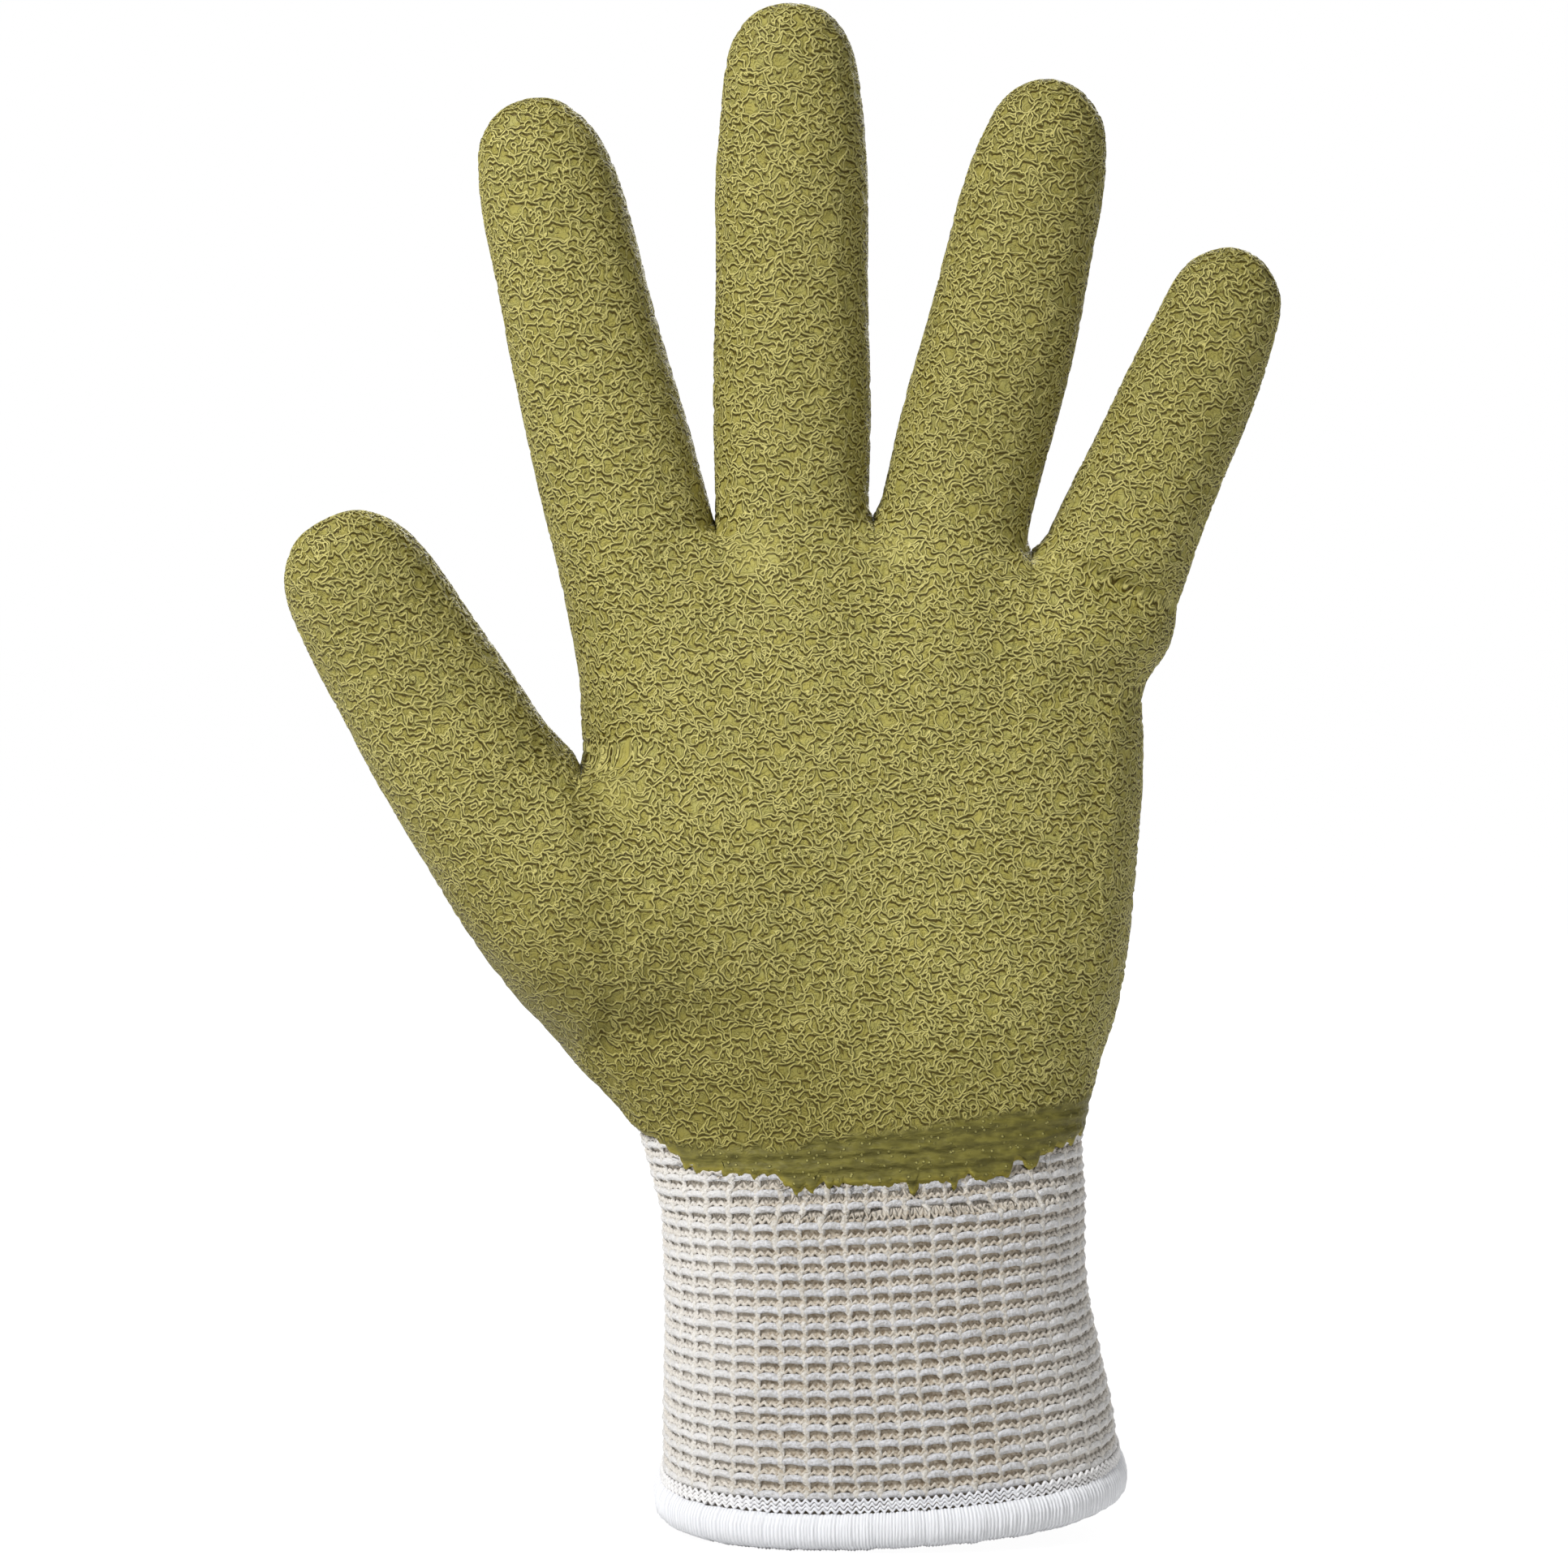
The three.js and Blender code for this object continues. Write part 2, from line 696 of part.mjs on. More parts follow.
// The knit lies under the coating, and comes up to the skin where the cuff begins.
const UNDER_COATING = COATING + GAP;
const atCuff = new Set(palmEnd);

function linerOuter(id) {
  return atCuff.has(id) ? 0 : UNDER_COATING;
}

function linerInner(id) {
  return atCuff.has(id) ? CUFF_WALL : UNDER_COATING + LINER_WALL;
}

// The coating is stretched thinner in the webs between the digits.
const webs = new Set([front[THUMB_TOP_ROW][0], front[THUMB_TOP_ROW][1], front[0][0]]);
webs.add(front[THUMB_TOP_ROW + 1][0]).add(back[THUMB_TOP_ROW + 1][0]);
for (let k = DIGIT_STEPS; k < PALM_STEPS; k += DIGIT_STEPS) {
  webs.add(front[0][k]).add(front[1][k]).add(back[1][k]);
}

function coatingInner(id) {
  return webs.has(id) ? STRETCHED_COATING : COATING;
}

// The hem is a channel of stitches over the cuff's raw edge.
function hemGeometry() {
  const end = cuffRings[cuffRings.length - 1];
  const before = cuffRings[cuffRings.length - 2];
  const inside = -CUFF_WALL - GAP;
  const under = HEM_HEIGHT - HEM_COVER;
  const profile = rows(
    ["out", "down"],
    [
      [GAP, GAP],
      [GAP, -HEM_COVER],
      [HEM_BULGE * 0.62, -HEM_COVER * 1.04],
      [HEM_BULGE, -HEM_COVER * 0.45],
      [HEM_BULGE * 0.78, under * 0.55],
      [-CUFF_WALL / 2, under],
      [inside - HEM_BULGE * 0.45, under * 0.6],
      [inside - HEM_BULGE * 0.55, -HEM_COVER * 0.4],
      [inside, -HEM_COVER * 0.72],
      [inside, GAP],
    ],
  );
  const places = [];
  for (let i = 0; i < LOOP; i += 1) {
    const here = points[end[i]];
    const down = here.clone().sub(points[before[i]]).normalize();
    const along = points[end[(i + 1) % LOOP]].clone().sub(points[end[(i + LOOP - 1) % LOOP]]);
    const out = new THREE.Vector3().crossVectors(down, along).normalize();
    profile.forEach((corner) => {
      const place = here.clone().addScaledVector(out, corner.out);
      place.addScaledVector(down, corner.down);
      places.push(place.x, place.y, place.z);
    });
  }
  const count = profile.length;
  const index = [];
  for (let i = 0; i < LOOP; i += 1) {
    const next = (i + 1) % LOOP;
    for (let j = 0; j < count; j += 1) {
      const after = (j + 1) % count;
      const a = i * count + j;
      const b = i * count + after;
      const c = next * count + after;
      const d = next * count + j;
      index.push(a, b, c, a, c, d);
    }
  }
  return closedGeometry(places, index);
}

const group = new THREE.Group();

function addPiece(name, geometry, colour, roughness) {
  const material = new THREE.MeshStandardMaterial({ color: colour, roughness, metalness: 0 });
  const mesh = new THREE.Mesh(geometry, material);
  mesh.name = name;
  group.add(mesh);
}

const KNIT = "#e4e1d9";
addPiece("knit_palm", wall(palmFaces, linerOuter, linerInner), KNIT, 0.95);
digits.forEach((digit) => {
  const geometry = wall(stallFaces(digit), linerOuter, linerInner);
  addPiece(`${digit.name}_stall`, geometry, KNIT, 0.95);
});
addPiece("latex_coating", wall(coatingFaces, () => 0, coatingInner), "#9a9153", 0.62);
addPiece("knit_cuff", wall(cuffFaces, () => 0, () => CUFF_WALL), "#cfcabf", 0.95);
addPiece("cuff_hem", hemGeometry(), "#e9e9e8", 0.9);

export default group;
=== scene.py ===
# %% [markdown]
# A knitted work glove whose palm was dipped in latex and crinkled while the latex was still
# soft. The frame brings in the solids of the glove at their real size. This lesson dresses
# them: a crinkled olive skin, white jersey under it, an elastic cuff knitted in raised bars,
# and a white overlocked hem. Every finished piece keeps its place and size from the frame.

# %% Load the frame and note its box
import math

import bmesh
import bpy
import numpy as np
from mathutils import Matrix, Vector, noise
from mathutils.bvhtree import BVHTree
from mathutils.kdtree import KDTree


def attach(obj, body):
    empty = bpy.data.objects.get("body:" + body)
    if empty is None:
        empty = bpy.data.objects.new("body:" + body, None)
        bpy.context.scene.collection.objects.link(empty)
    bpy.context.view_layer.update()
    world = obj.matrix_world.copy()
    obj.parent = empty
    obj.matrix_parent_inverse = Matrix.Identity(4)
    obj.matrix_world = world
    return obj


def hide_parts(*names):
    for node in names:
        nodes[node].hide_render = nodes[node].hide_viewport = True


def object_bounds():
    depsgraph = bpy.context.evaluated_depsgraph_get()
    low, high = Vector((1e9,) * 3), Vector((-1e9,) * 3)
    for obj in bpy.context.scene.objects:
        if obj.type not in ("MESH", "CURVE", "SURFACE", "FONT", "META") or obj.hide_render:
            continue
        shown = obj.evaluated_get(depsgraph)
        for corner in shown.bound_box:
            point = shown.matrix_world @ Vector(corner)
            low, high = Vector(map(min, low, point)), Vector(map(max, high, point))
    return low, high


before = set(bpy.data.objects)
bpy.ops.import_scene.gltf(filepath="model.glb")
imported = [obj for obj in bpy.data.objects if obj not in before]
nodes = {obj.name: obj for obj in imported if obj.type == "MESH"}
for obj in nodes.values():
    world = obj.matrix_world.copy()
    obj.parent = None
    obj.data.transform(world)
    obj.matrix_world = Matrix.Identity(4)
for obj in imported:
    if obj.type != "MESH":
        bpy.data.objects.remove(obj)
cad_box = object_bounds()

MM = 0.001
print("CAD nodes:", ", ".join(sorted(nodes)))

# %% [markdown]
# The photograph looks at the palm from the front, level with the fingers' roots and a little
# from above, through a long lens, so the glove shows almost no perspective. The camera is set
# first: it decides how fine each detail has to be.

# %% Place the camera
AIM = Vector((-17.4, 0.0, 117.0)) * MM
CAMERA_DISTANCE = 0.85
CAMERA_RISE = math.radians(2.5)
VIEW_WIDTH = 255.0 * MM
SENSOR = 36.0


def into_scene(name, data):
    made = bpy.data.objects.new(name, data)
    bpy.context.scene.collection.objects.link(made)
    return made


camera_data = bpy.data.cameras.new("camera")
camera_data.sensor_fit = "HORIZONTAL"
camera_data.sensor_width = SENSOR
camera_data.lens = SENSOR * CAMERA_DISTANCE / VIEW_WIDTH
camera = into_scene("camera", camera_data)
away = Vector((0.0, -math.cos(CAMERA_RISE), math.sin(CAMERA_RISE)))
camera.location = AIM + away * CAMERA_DISTANCE
camera.rotation_euler = (-away).to_track_quat("-Z", "Y").to_euler()
bpy.context.scene.camera = camera
print("lens", round(camera_data.lens, 1), "mm")

# %% [markdown]
# Patterns are worked out by nodes. Wiring them one by one is hard to read, so a small class
# wraps a socket: adding or multiplying two wires adds the Math node, and any other node
# comes from one method.

# %% Wrap sockets so that node maths reads like Python
class Wire:
    def __init__(self, tree, socket):
        self.tree = tree
        self.socket = socket

    def __add__(self, other):
        return self.tree.maths("ADD", self, other)

    def __sub__(self, other):
        return self.tree.maths("SUBTRACT", self, other)

    def __rsub__(self, other):
        return self.tree.maths("SUBTRACT", other, self)

    def __mul__(self, other):
        return self.tree.maths("MULTIPLY", self, other)

    def __truediv__(self, other):
        return self.tree.maths("DIVIDE", self, other)

    def __pow__(self, other):
        return self.tree.maths("POWER", self, other)

    __radd__ = __add__
    __rmul__ = __mul__


class Tree:
    """A node tree of a material or of Geometry Nodes."""

    def __init__(self, tree):
        self.tree = tree

    def node(self, kind, settings=None, inputs=None):
        made = self.tree.nodes.new(kind)
        for name, value in (settings or {}).items():
            setattr(made, name, value)
        for key, value in (inputs or {}).items():
            self.feed(self.find(made.inputs, key), value)
        return made

    def find(self, sockets, key):
        if isinstance(key, int):
            return sockets[key]
        for socket in sockets:
            if socket.identifier == key:
                return socket
        return next(s for s in sockets if s.name == key and s.enabled)

    def feed(self, socket, value):
        if isinstance(value, Wire):
            self.tree.links.new(value.socket, socket)
        else:
            socket.default_value = value

    def get(self, kind, output, settings=None, inputs=None):
        made = self.node(kind, settings, inputs)
        return Wire(self, self.find(made.outputs, output))

    def maths(self, kind, *values):
        inputs = dict(enumerate(values))
        return self.get("ShaderNodeMath", "Value", {"operation": kind}, inputs)

    def vectors(self, kind, *values, output="Vector"):
        inputs = dict(enumerate(values))
        return self.get("ShaderNodeVectorMath", output, {"operation": kind}, inputs)

    def stretch(self, vector, factors):
        return self.vectors("MULTIPLY", vector, factors)

    def scaled(self, vector, amount):
        inputs = {0: vector, "Scale": amount}
        return self.get("ShaderNodeVectorMath", "Vector", {"operation": "SCALE"}, inputs)

    def in_mm(self, vector):
        return self.scaled(vector, 1.0 / MM)

    def join(self, x, y, z):
        return self.get("ShaderNodeCombineXYZ", "Vector", None, {0: x, 1: y, 2: z})

    def split(self, vector):
        made = self.node("ShaderNodeSeparateXYZ", None, {0: vector})
        return [Wire(self, output) for output in made.outputs]

    def step(self, value, low, high):
        """0 below low, 1 above high and smooth between."""
        settings = {"interpolation_type": "SMOOTHSTEP"}
        inputs = {"Value": value, "From Min": low, "From Max": high}
        return self.get("ShaderNodeMapRange", "Result", settings, inputs)

    def noise(self, vector, scale, detail=2.0, output="Fac"):
        inputs = {"Vector": vector, "Scale": scale, "Detail": detail}
        return self.get("ShaderNodeTexNoise", output, None, inputs)

    def cells(self, vector, scale, feature):
        settings = {"feature": feature, "voronoi_dimensions": "2D"}
        inputs = {"Vector": vector, "Scale": scale}
        return self.get("ShaderNodeTexVoronoi", "Distance", settings, inputs)

    def blend(self, factor, first, second):
        inputs = {"Factor_Float": factor, "A_Color": first, "B_Color": second}
        return self.get("ShaderNodeMix", "Result_Color", {"data_type": "RGBA"}, inputs)

    def stored(self, name, output="Fac"):
        """What a material reads of an attribute of its piece."""
        return self.get("ShaderNodeAttribute", output, {"attribute_name": name})

    def change(self, kind, geometry, settings=None, **inputs):
        """One step of Geometry Nodes, from a geometry to a geometry."""
        inputs["Geometry"] = geometry
        return self.get("GeometryNode" + kind, 0, settings, inputs)


print("node maths ready")

# %% [markdown]
# A finish is a Principled shader with a colour, a roughness and a height that becomes bump.
# Colours are picked in the sRGB numbers that a paint tool shows, so they are turned into
# linear light first.

# %% Helpers for finishes
def paint(red, green, blue):
    """A colour from sRGB numbers between 0 and 255."""
    shares = [c / 255.0 for c in (red, green, blue)]
    linear = [s / 12.92 if s <= 0.04045 else ((s + 0.055) / 1.055) ** 2.4 for s in shares]
    return (*linear, 1.0)


def new_finish(name, **fixed):
    """A material and its Tree. Fixed values go on the sockets of the Principled node."""
    material = bpy.data.materials.new(name)
    material.use_nodes = True
    for socket, value in fixed.items():
        surface = material.node_tree.nodes["Principled BSDF"].inputs
        surface[socket.replace("_", " ")].default_value = value
    return material, Tree(material.node_tree)


def finish_with(tree, colour, roughness, height, depth):
    surface = tree.tree.nodes["Principled BSDF"].inputs
    tree.feed(surface["Base Color"], colour)
    tree.feed(surface["Roughness"], roughness)
    bump = {"Height": height, "Distance": depth, "Strength": 1.0}
    tree.feed(surface["Normal"], tree.get("ShaderNodeBump", "Normal", None, bump))


def dress(piece, material):
    piece.data.materials.clear()
    piece.data.materials.append(material)


print("finishes ready")

# %% [markdown]
# The solids are faceted on purpose. Each soft piece starts as a copy of its solid: the loose
# triangles are welded and paired into quads, sharp edges keep a crease, and a subdivision
# surface rounds the rest. A subdivision surface shrinks away from its cage, so the cage is
# pushed out until the smooth surface passes through the solid's own corners.

# %% Turn a faceted solid into a smooth cage
CREASE_ANGLE = math.radians(50)
FIT_ROUNDS = 5


def to_bmesh(data):
    mesh = bmesh.new()
    mesh.from_mesh(data)
    return mesh


def back_to(data, mesh):
    mesh.to_mesh(data)
    mesh.free()


def welded_copy(node):
    """A bmesh of a CAD node's triangles, welded."""
    mesh = to_bmesh(nodes[node].data)
    bmesh.ops.remove_doubles(mesh, verts=mesh.verts, dist=0.01 * MM)
    mesh.normal_update()
    return mesh


def pair_triangles(mesh):
    bmesh.ops.join_triangles(
        mesh,
        faces=mesh.faces,
        angle_face_threshold=math.radians(60),
        angle_shape_threshold=math.radians(75),
    )


def to_object(mesh, name):
    data = bpy.data.meshes.new(name)
    back_to(data, mesh)
    return into_scene(name, data)


def baked(piece):
    """The piece with its modifiers turned into plain mesh."""
    graph = bpy.context.evaluated_depsgraph_get()
    data = bpy.data.meshes.new_from_object(piece.evaluated_get(graph), depsgraph=graph)
    data.name = piece.name
    piece.modifiers.clear()
    piece.data = data
    return piece


def coordinates(data):
    places = np.empty(len(data.vertices) * 3)
    data.vertices.foreach_get("co", places)
    return places.reshape(-1, 3)


def move_points(data, places):
    data.vertices.foreach_set("co", places.ravel())
    data.update()


def point_tree(places):
    """A search tree that finds the nearest of the places and its number."""
    tree = KDTree(len(places))
    for i, place in enumerate(places):
        tree.insert(place, i)
    tree.balance()
    return tree


def subdivided(piece, level):
    """Fits the cage so that the smooth surface meets its corners, then subdivides it."""
    target = coordinates(piece.data)
    cage = target.copy()
    modifier = piece.modifiers.new("smooth", "SUBSURF")
    modifier.levels = modifier.render_levels = 1
    for _ in range(FIT_ROUNDS):
        graph = bpy.context.evaluated_depsgraph_get()
        limit = coordinates(piece.evaluated_get(graph).data)[: len(target)]
        cage += target - limit
        move_points(piece.data, cage)
    modifier.levels = modifier.render_levels = level
    baked(piece)
    piece.data.shade_smooth()
    return piece


def smooth_copy(node, name, level):
    mesh = welded_copy(node)
    pair_triangles(mesh)
    crease = mesh.edges.layers.float.new("crease_edge")
    for edge in mesh.edges:
        if len(edge.link_faces) == 2 and edge.calc_face_angle() > CREASE_ANGLE:
            edge[crease] = 1.0
    left = sum(len(face.verts) == 3 for face in mesh.faces)
    total = len(mesh.faces)
    piece = subdivided(to_object(mesh, name), level)
    print(name, "cage", total, "faces,", left, "triangles; now", len(piece.data.polygons))
    return piece


print("cage helpers ready")

# %% [markdown]
# The knitted liner is seamless: the palm and the five stalls come off one machine. On the
# solids a fine gap parts them, so the stalls' root edges are drawn against the palm. Each
# stall has the point of its root and its lean in degrees, which its knitting follows later.

# %% Make the liner
SEAM_REACH = 0.45 * MM
SEAM_CLOSING = 0.9
STALLS = {
    "index_stall": ((-41.3, 155.9), 13.2),
    "middle_stall": ((-15.8, 159.4), 0.0),
    "ring_stall": ((9.8, 157.3), -13.0),
    "little_stall": ((34.3, 150.0), -23.3),
    "thumb_stall": ((-68.3, 120.8), 27.6),
}

knit_palm = smooth_copy("knit_palm", "palm_knit", 2)
stalls = {name: smooth_copy(name, name + "_knit", 2) for name in STALLS}


def close_seam(piece, neighbour):
    places = coordinates(piece.data)
    tree = point_tree(coordinates(neighbour.data))
    moved = 0
    for i, place in enumerate(places):
        near, _, distance = tree.find(place)
        if distance < SEAM_REACH:
            places[i] += (np.array(near) - place) * SEAM_CLOSING
            moved += 1
    move_points(piece.data, places)
    return moved


for name, stall in stalls.items():
    print(name, "seam points moved:", close_seam(stall, knit_palm))

# %% Make the smooth ground of the cuff and of the hem
cuff_ground = smooth_copy("knit_cuff", "cuff_knit", 2)
hem_roll = smooth_copy("cuff_hem", "hem_roll", 1)
print("cuff seam points moved:", close_seam(cuff_ground, knit_palm))

# %% [markdown]
# The latex skin has an outside, an inside and a rim between them. Only the outside is seen,
# so it gets nearly all the triangles. Every corner of the outside has a twin inside, one
# coating's thickness away, and of the two the outer one lies further from the knit.

# %% Find the outside of the latex
COATING = 0.9 * MM
STRETCHED_COATING = 0.6 * MM
TWIN_SLACK = 0.03 * MM


def knit_tree():
    mesh = bmesh.new()
    for node in ["knit_palm", *STALLS]:
        mesh.from_mesh(nodes[node].data)
    tree = BVHTree.FromBMesh(mesh)
    mesh.free()
    return tree


def outside_of_latex():
    mesh = welded_copy("latex_coating")
    knit = knit_tree()
    height = {vertex: knit.find_nearest(vertex.co)[3] for vertex in mesh.verts}
    corners = list(mesh.verts)
    near = point_tree([vertex.co for vertex in corners])
    outer = set()
    for vertex in corners:
        twins = []
        for _, i, distance in near.find_range(vertex.co, COATING + TWIN_SLACK):
            miss = min(abs(distance - COATING), abs(distance - STRETCHED_COATING))
            if i != vertex.index:
                twins.append((miss, i))
        twin = corners[min(twins)[1]]
        if height[vertex] > height[twin]:
            outer.add(vertex)
    hidden = [face for face in mesh.faces if not all(v in outer for v in face.verts)]
    print("latex corners", len(corners), "outside", len(outer))
    bmesh.ops.delete(mesh, geom=hidden, context="FACES")
    pair_triangles(mesh)
    return mesh


def split_long_rings(mesh, longest):
    """Cuts every ring of side-by-side edges whose mean length is over longest."""
    mesh.edges.index_update()
    parent = list(range(len(mesh.edges)))

    def root(i):
        while parent[i] != i:
            parent[i] = parent[parent[i]]
            i = parent[i]
        return i

    for face in mesh.faces:
        if len(face.edges) == 4:
            ring = [loop.edge.index for loop in face.loops]
            for a, b in ((ring[0], ring[2]), (ring[1], ring[3])):
                parent[root(a)] = root(b)
    rings = {}
    for edge in mesh.edges:
        rings.setdefault(root(edge.index), []).append(edge)
    long = []
    for ring in rings.values():
        if sum(edge.calc_length() for edge in ring) / len(ring) > longest:
            long.extend(ring)
    bmesh.ops.subdivide_edges(mesh, edges=long, cuts=1, use_grid_fill=True)
    return len(long)


outside = outside_of_latex()
cage = outside.copy()
skin = to_object(outside, "latex_skin")

# %% Round the outside and the backing
LONGEST_EDGE = 0.84 * MM
skin = subdivided(skin, 3)
backing = subdivided(to_object(cage, "latex_backing"), 1)

fine = to_bmesh(skin.data)
cut = split_long_rings(fine, LONGEST_EDGE)
back_to(skin.data, fine)
print("rings cut:", cut, "edges; faces", len(skin.data.polygons))

# %% [markdown]
# On the real glove the latex bridges the valleys between the digits' roots: the palm runs
# on smoothly right up to each crotch. On the skin so far a groove runs down from each one.
# Seen from the front the skin is a map of depths, so the grooves can be filled the way a
# paint tool closes gaps in a drawing: grow the near parts, then shrink them back.

# %% Bridge the valleys between the digits
CLOSING_CELLS = 6
FRONT_HALF = 2.0
VALLEYS = [
    ((-28.6, 158.9), (-28.0, 138.0), 9.5),
    ((-3.0, 160.0), (-3.0, 138.0), 9.5),
    ((22.6, 154.7), (18.5, 136.0), 9.5),
    ((-50.2, 120.2), (-44.0, 98.0), 15.0),
]


def smooth_share(value):
    value = min(1.0, max(0.0, value))
    return value * value * (3 - 2 * value)


def valley_share(x, z, valleys):
    """1 in a valley's heart, 0 outside it and at the crotch itself."""
    best = 0.0
    for (x0, z0), (x1, z1), reach in valleys:
        length = math.hypot(x1 - x0, z1 - z0)
        ax, az = (x1 - x0) / length, (z1 - z0) / length
        down = (x - x0) * ax + (z - z0) * az
        beyond = max(0.0, down - length)
        aside = abs((x - x0) * az - (z - z0) * ax)
        far = math.hypot(aside, beyond)
        best = max(best, smooth_share(down / 2.8) * smooth_share(1.8 * (1.0 - far / reach)))
    return best


def disc(radius):
    span = range(-radius, radius + 1)
    return [(a, b) for a in span for b in span if a * a + b * b <= radius * radius + 1]


def shifted(chart, shifts):
    return [np.roll(chart, shift, (0, 1)) for shift in shifts]


def read_chart(chart, where):
    """The chart's value at each place, blended between its cells."""
    low = np.floor(where - 0.5).astype(int)
    part = where - 0.5 - low
    value = np.zeros(len(where))
    for a in (0, 1):
        for b in (0, 1):
            share = np.abs(1 - a - part[:, 0]) * np.abs(1 - b - part[:, 1])
            value += chart[low[:, 0] + a, low[:, 1] + b] * share
    return value


def depth_chart(places, cell, border):
    """The most forward depth in each cell of a grid over the front, and where points fall."""
    where = places[:, [0, 2]] / MM / cell
    where = where - where.min(axis=0) + border
    size = tuple(np.ceil(where.max(axis=0)).astype(int) + border)
    chart = np.full(size, np.inf)
    spot = np.floor(where).astype(int)
    np.minimum.at(chart, (spot[:, 0], spot[:, 1]), places[:, 1] / MM)
    return chart, where


def blurred(chart, shifts, rounds):
    """The chart averaged over its neighbours. Empty cells take no part."""
    known = np.isfinite(chart).astype(float)
    level = np.where(known > 0, chart, 0.0)
    for _ in range(rounds):
        level, known = sum(shifted(level, shifts)), sum(shifted(known, shifts))
    return level / np.maximum(known, 1e-9)


def bridge_valleys(piece):
    places = coordinates(piece.data)
    chart, where = depth_chart(places, 1.0, 14)
    grown = np.min(shifted(chart, disc(CLOSING_CELLS)), axis=0)
    grown[np.isinf(grown)] = -np.inf
    closed = np.max(shifted(grown, disc(CLOSING_CELLS)), axis=0)
    closed[np.isneginf(closed)] = np.inf
    level = read_chart(blurred(closed, disc(2), 2), where)
    ramp = read_chart(blurred(closed, disc(5), 3), where)
    raised = 0.0
    for i, (x, y, z) in enumerate(places / MM):
        if y < FRONT_HALF:
            lift = valley_share(x, z, VALLEYS[:3]) * min(0.0, level[i] - y)
            lift = min(lift, valley_share(x, z, VALLEYS[3:]) * min(0.0, ramp[i] - y))
            places[i, 1] += lift * MM
            raised = min(raised, lift)
    move_points(piece.data, places)
    return -raised


print("deepest fill, mm:", round(bridge_valleys(skin), 1))

# %% Press the folds at the outer edge of the hand
FOLDS = [((38.5, 148.0), -24.0, (10.0, 3.6), 1.7), ((37.0, 122.0), -8.0, (8.0, 4.5), 0.8)]


def press_folds(piece):
    """Soft dents where the real glove sags: each has a middle, a tilt, two radii, a depth."""
    places = coordinates(piece.data)
    x, y, z = (places / MM).T
    for (x0, z0), tilt, (long, short), depth in FOLDS:
        c, s = math.cos(math.radians(tilt)), math.sin(math.radians(tilt))
        along = ((x - x0) * c + (z - z0) * s) / long
        across = ((z - z0) * c - (x - x0) * s) / short
        dent = np.exp(-(along**2 + across**2)) * np.clip((4.0 - y) / 8.0, 0.0, 1.0)
        places[:, 1] += depth * dent * MM
    move_points(piece.data, places)


for layer in (skin, backing, knit_palm, stalls["little_stall"]):
    press_folds(layer)
print("folds pressed:", len(FOLDS))

# %% [markdown]
# A dipped coating ends in a soft lip, not a knife edge. Along the wrist it is ragged, with
# small drips that ran down between the rows of knitting; behind the fingers it only wavers.
# Each point near the open edge sinks towards the knit and slides along the surface by a
# noise that is read at the nearest point of the edge. The crinkle dies out along the lip and
# on the backs of the fingertips, where the map that lays the skin flat is gathered tightly.

# %% Shape the lip of the coating
def open_edge(data):
    """For each point on the open edge, the direction that leaves the sheet."""
    mesh = to_bmesh(data)
    mesh.normal_update()
    leaving = {}
    for edge in mesh.edges:
        if len(edge.link_faces) == 1:
            face = edge.link_faces[0]
            along = edge.verts[1].co - edge.verts[0].co
            out = along.cross(face.normal)
            middle = (edge.verts[0].co + edge.verts[1].co) / 2
            if out.dot(middle - face.calc_center_median()) < 0:
                out = -out
            for vertex in edge.verts:
                leaving[vertex.index] = leaving.get(vertex.index, Vector()) + out.normalized()
    mesh.free()
    return {i: out.normalized() for i, out in leaving.items()}


WRIST_LINE = 75.0
WRIST_REACH = 9.0
BACK_REACH = 3.0
LIP_SINK = 0.62 * MM
PEEL_ROUNDS = 14


def waver(place):
    """How far the lip runs on at a place, in millimetres."""
    p = place / MM
    if p.z > WRIST_LINE:
        return 0.7 * noise.noise(p * 0.12) + 0.3 * noise.noise(p * 0.45)
    broad = 0.8 * noise.noise(Vector((p.x * 0.16, 3.0, 7.0)))
    fine = 0.7 * noise.noise(Vector((p.x * 0.9, 11.0, p.y * 0.4)))
    drip = max(0.0, noise.noise(Vector((p.x * 0.55, 5.0, p.y * 0.3))) - 0.08) * 4.6
    front = min(1.0, max(0.0, (-p.y - 2.0) / 14.0))
    tongue = 2.2 * math.exp(-(((p.x + 31.0) / 6.0) ** 2)) if p.y < 0.0 else 0.0
    return broad + fine + drip + tongue - 3.0 * front


def shape_lip(piece):
    data = piece.data
    places = coordinates(data)
    normals = np.array([vertex.normal for vertex in data.vertices])
    leaving = open_edge(data)
    ids = list(leaving)
    tree = point_tree([data.vertices[i].co for i in ids])
    relief = np.ones(len(places))
    edge = np.zeros(len(places))
    moved = places.copy()
    run = {i: waver(data.vertices[i].co) for i in ids}
    for i, place in enumerate(places):
        _, n, distance = tree.find(place)
        distance /= MM
        reach = WRIST_REACH if place[2] < WRIST_LINE * MM else BACK_REACH
        if distance < reach:
            near = ids[n]
            slide = run[near] * smooth_share(1 - distance / reach)
            moved[i] += np.array(leaving[near]) * slide * MM
            moved[i] -= normals[i] * LIP_SINK * max(0.0, 1 - distance / 1.5) ** 2
            relief[i] = smooth_share(distance / 2.4)
            edge[i] = smooth_share(1 - distance / 1.6)
    relief *= [1.0 - 0.8 * smooth_share((back - 0.35) / 0.5) for back in normals[:, 1]]
    move_points(data, moved)
    fields = {"relief": relief, "edge": edge, "rest": moved}
    fields["spread"] = spread_out(data, moved, normals)
    return len(ids), places, fields


def front_reach(places):
    """How far forward the skin comes near each point, smoothed over a few cells."""
    chart, where = depth_chart(places, 4.0, 6)
    chart = np.min(shifted(chart, disc(2)), axis=0)
    return read_chart(blurred(chart, disc(2), 2), where)


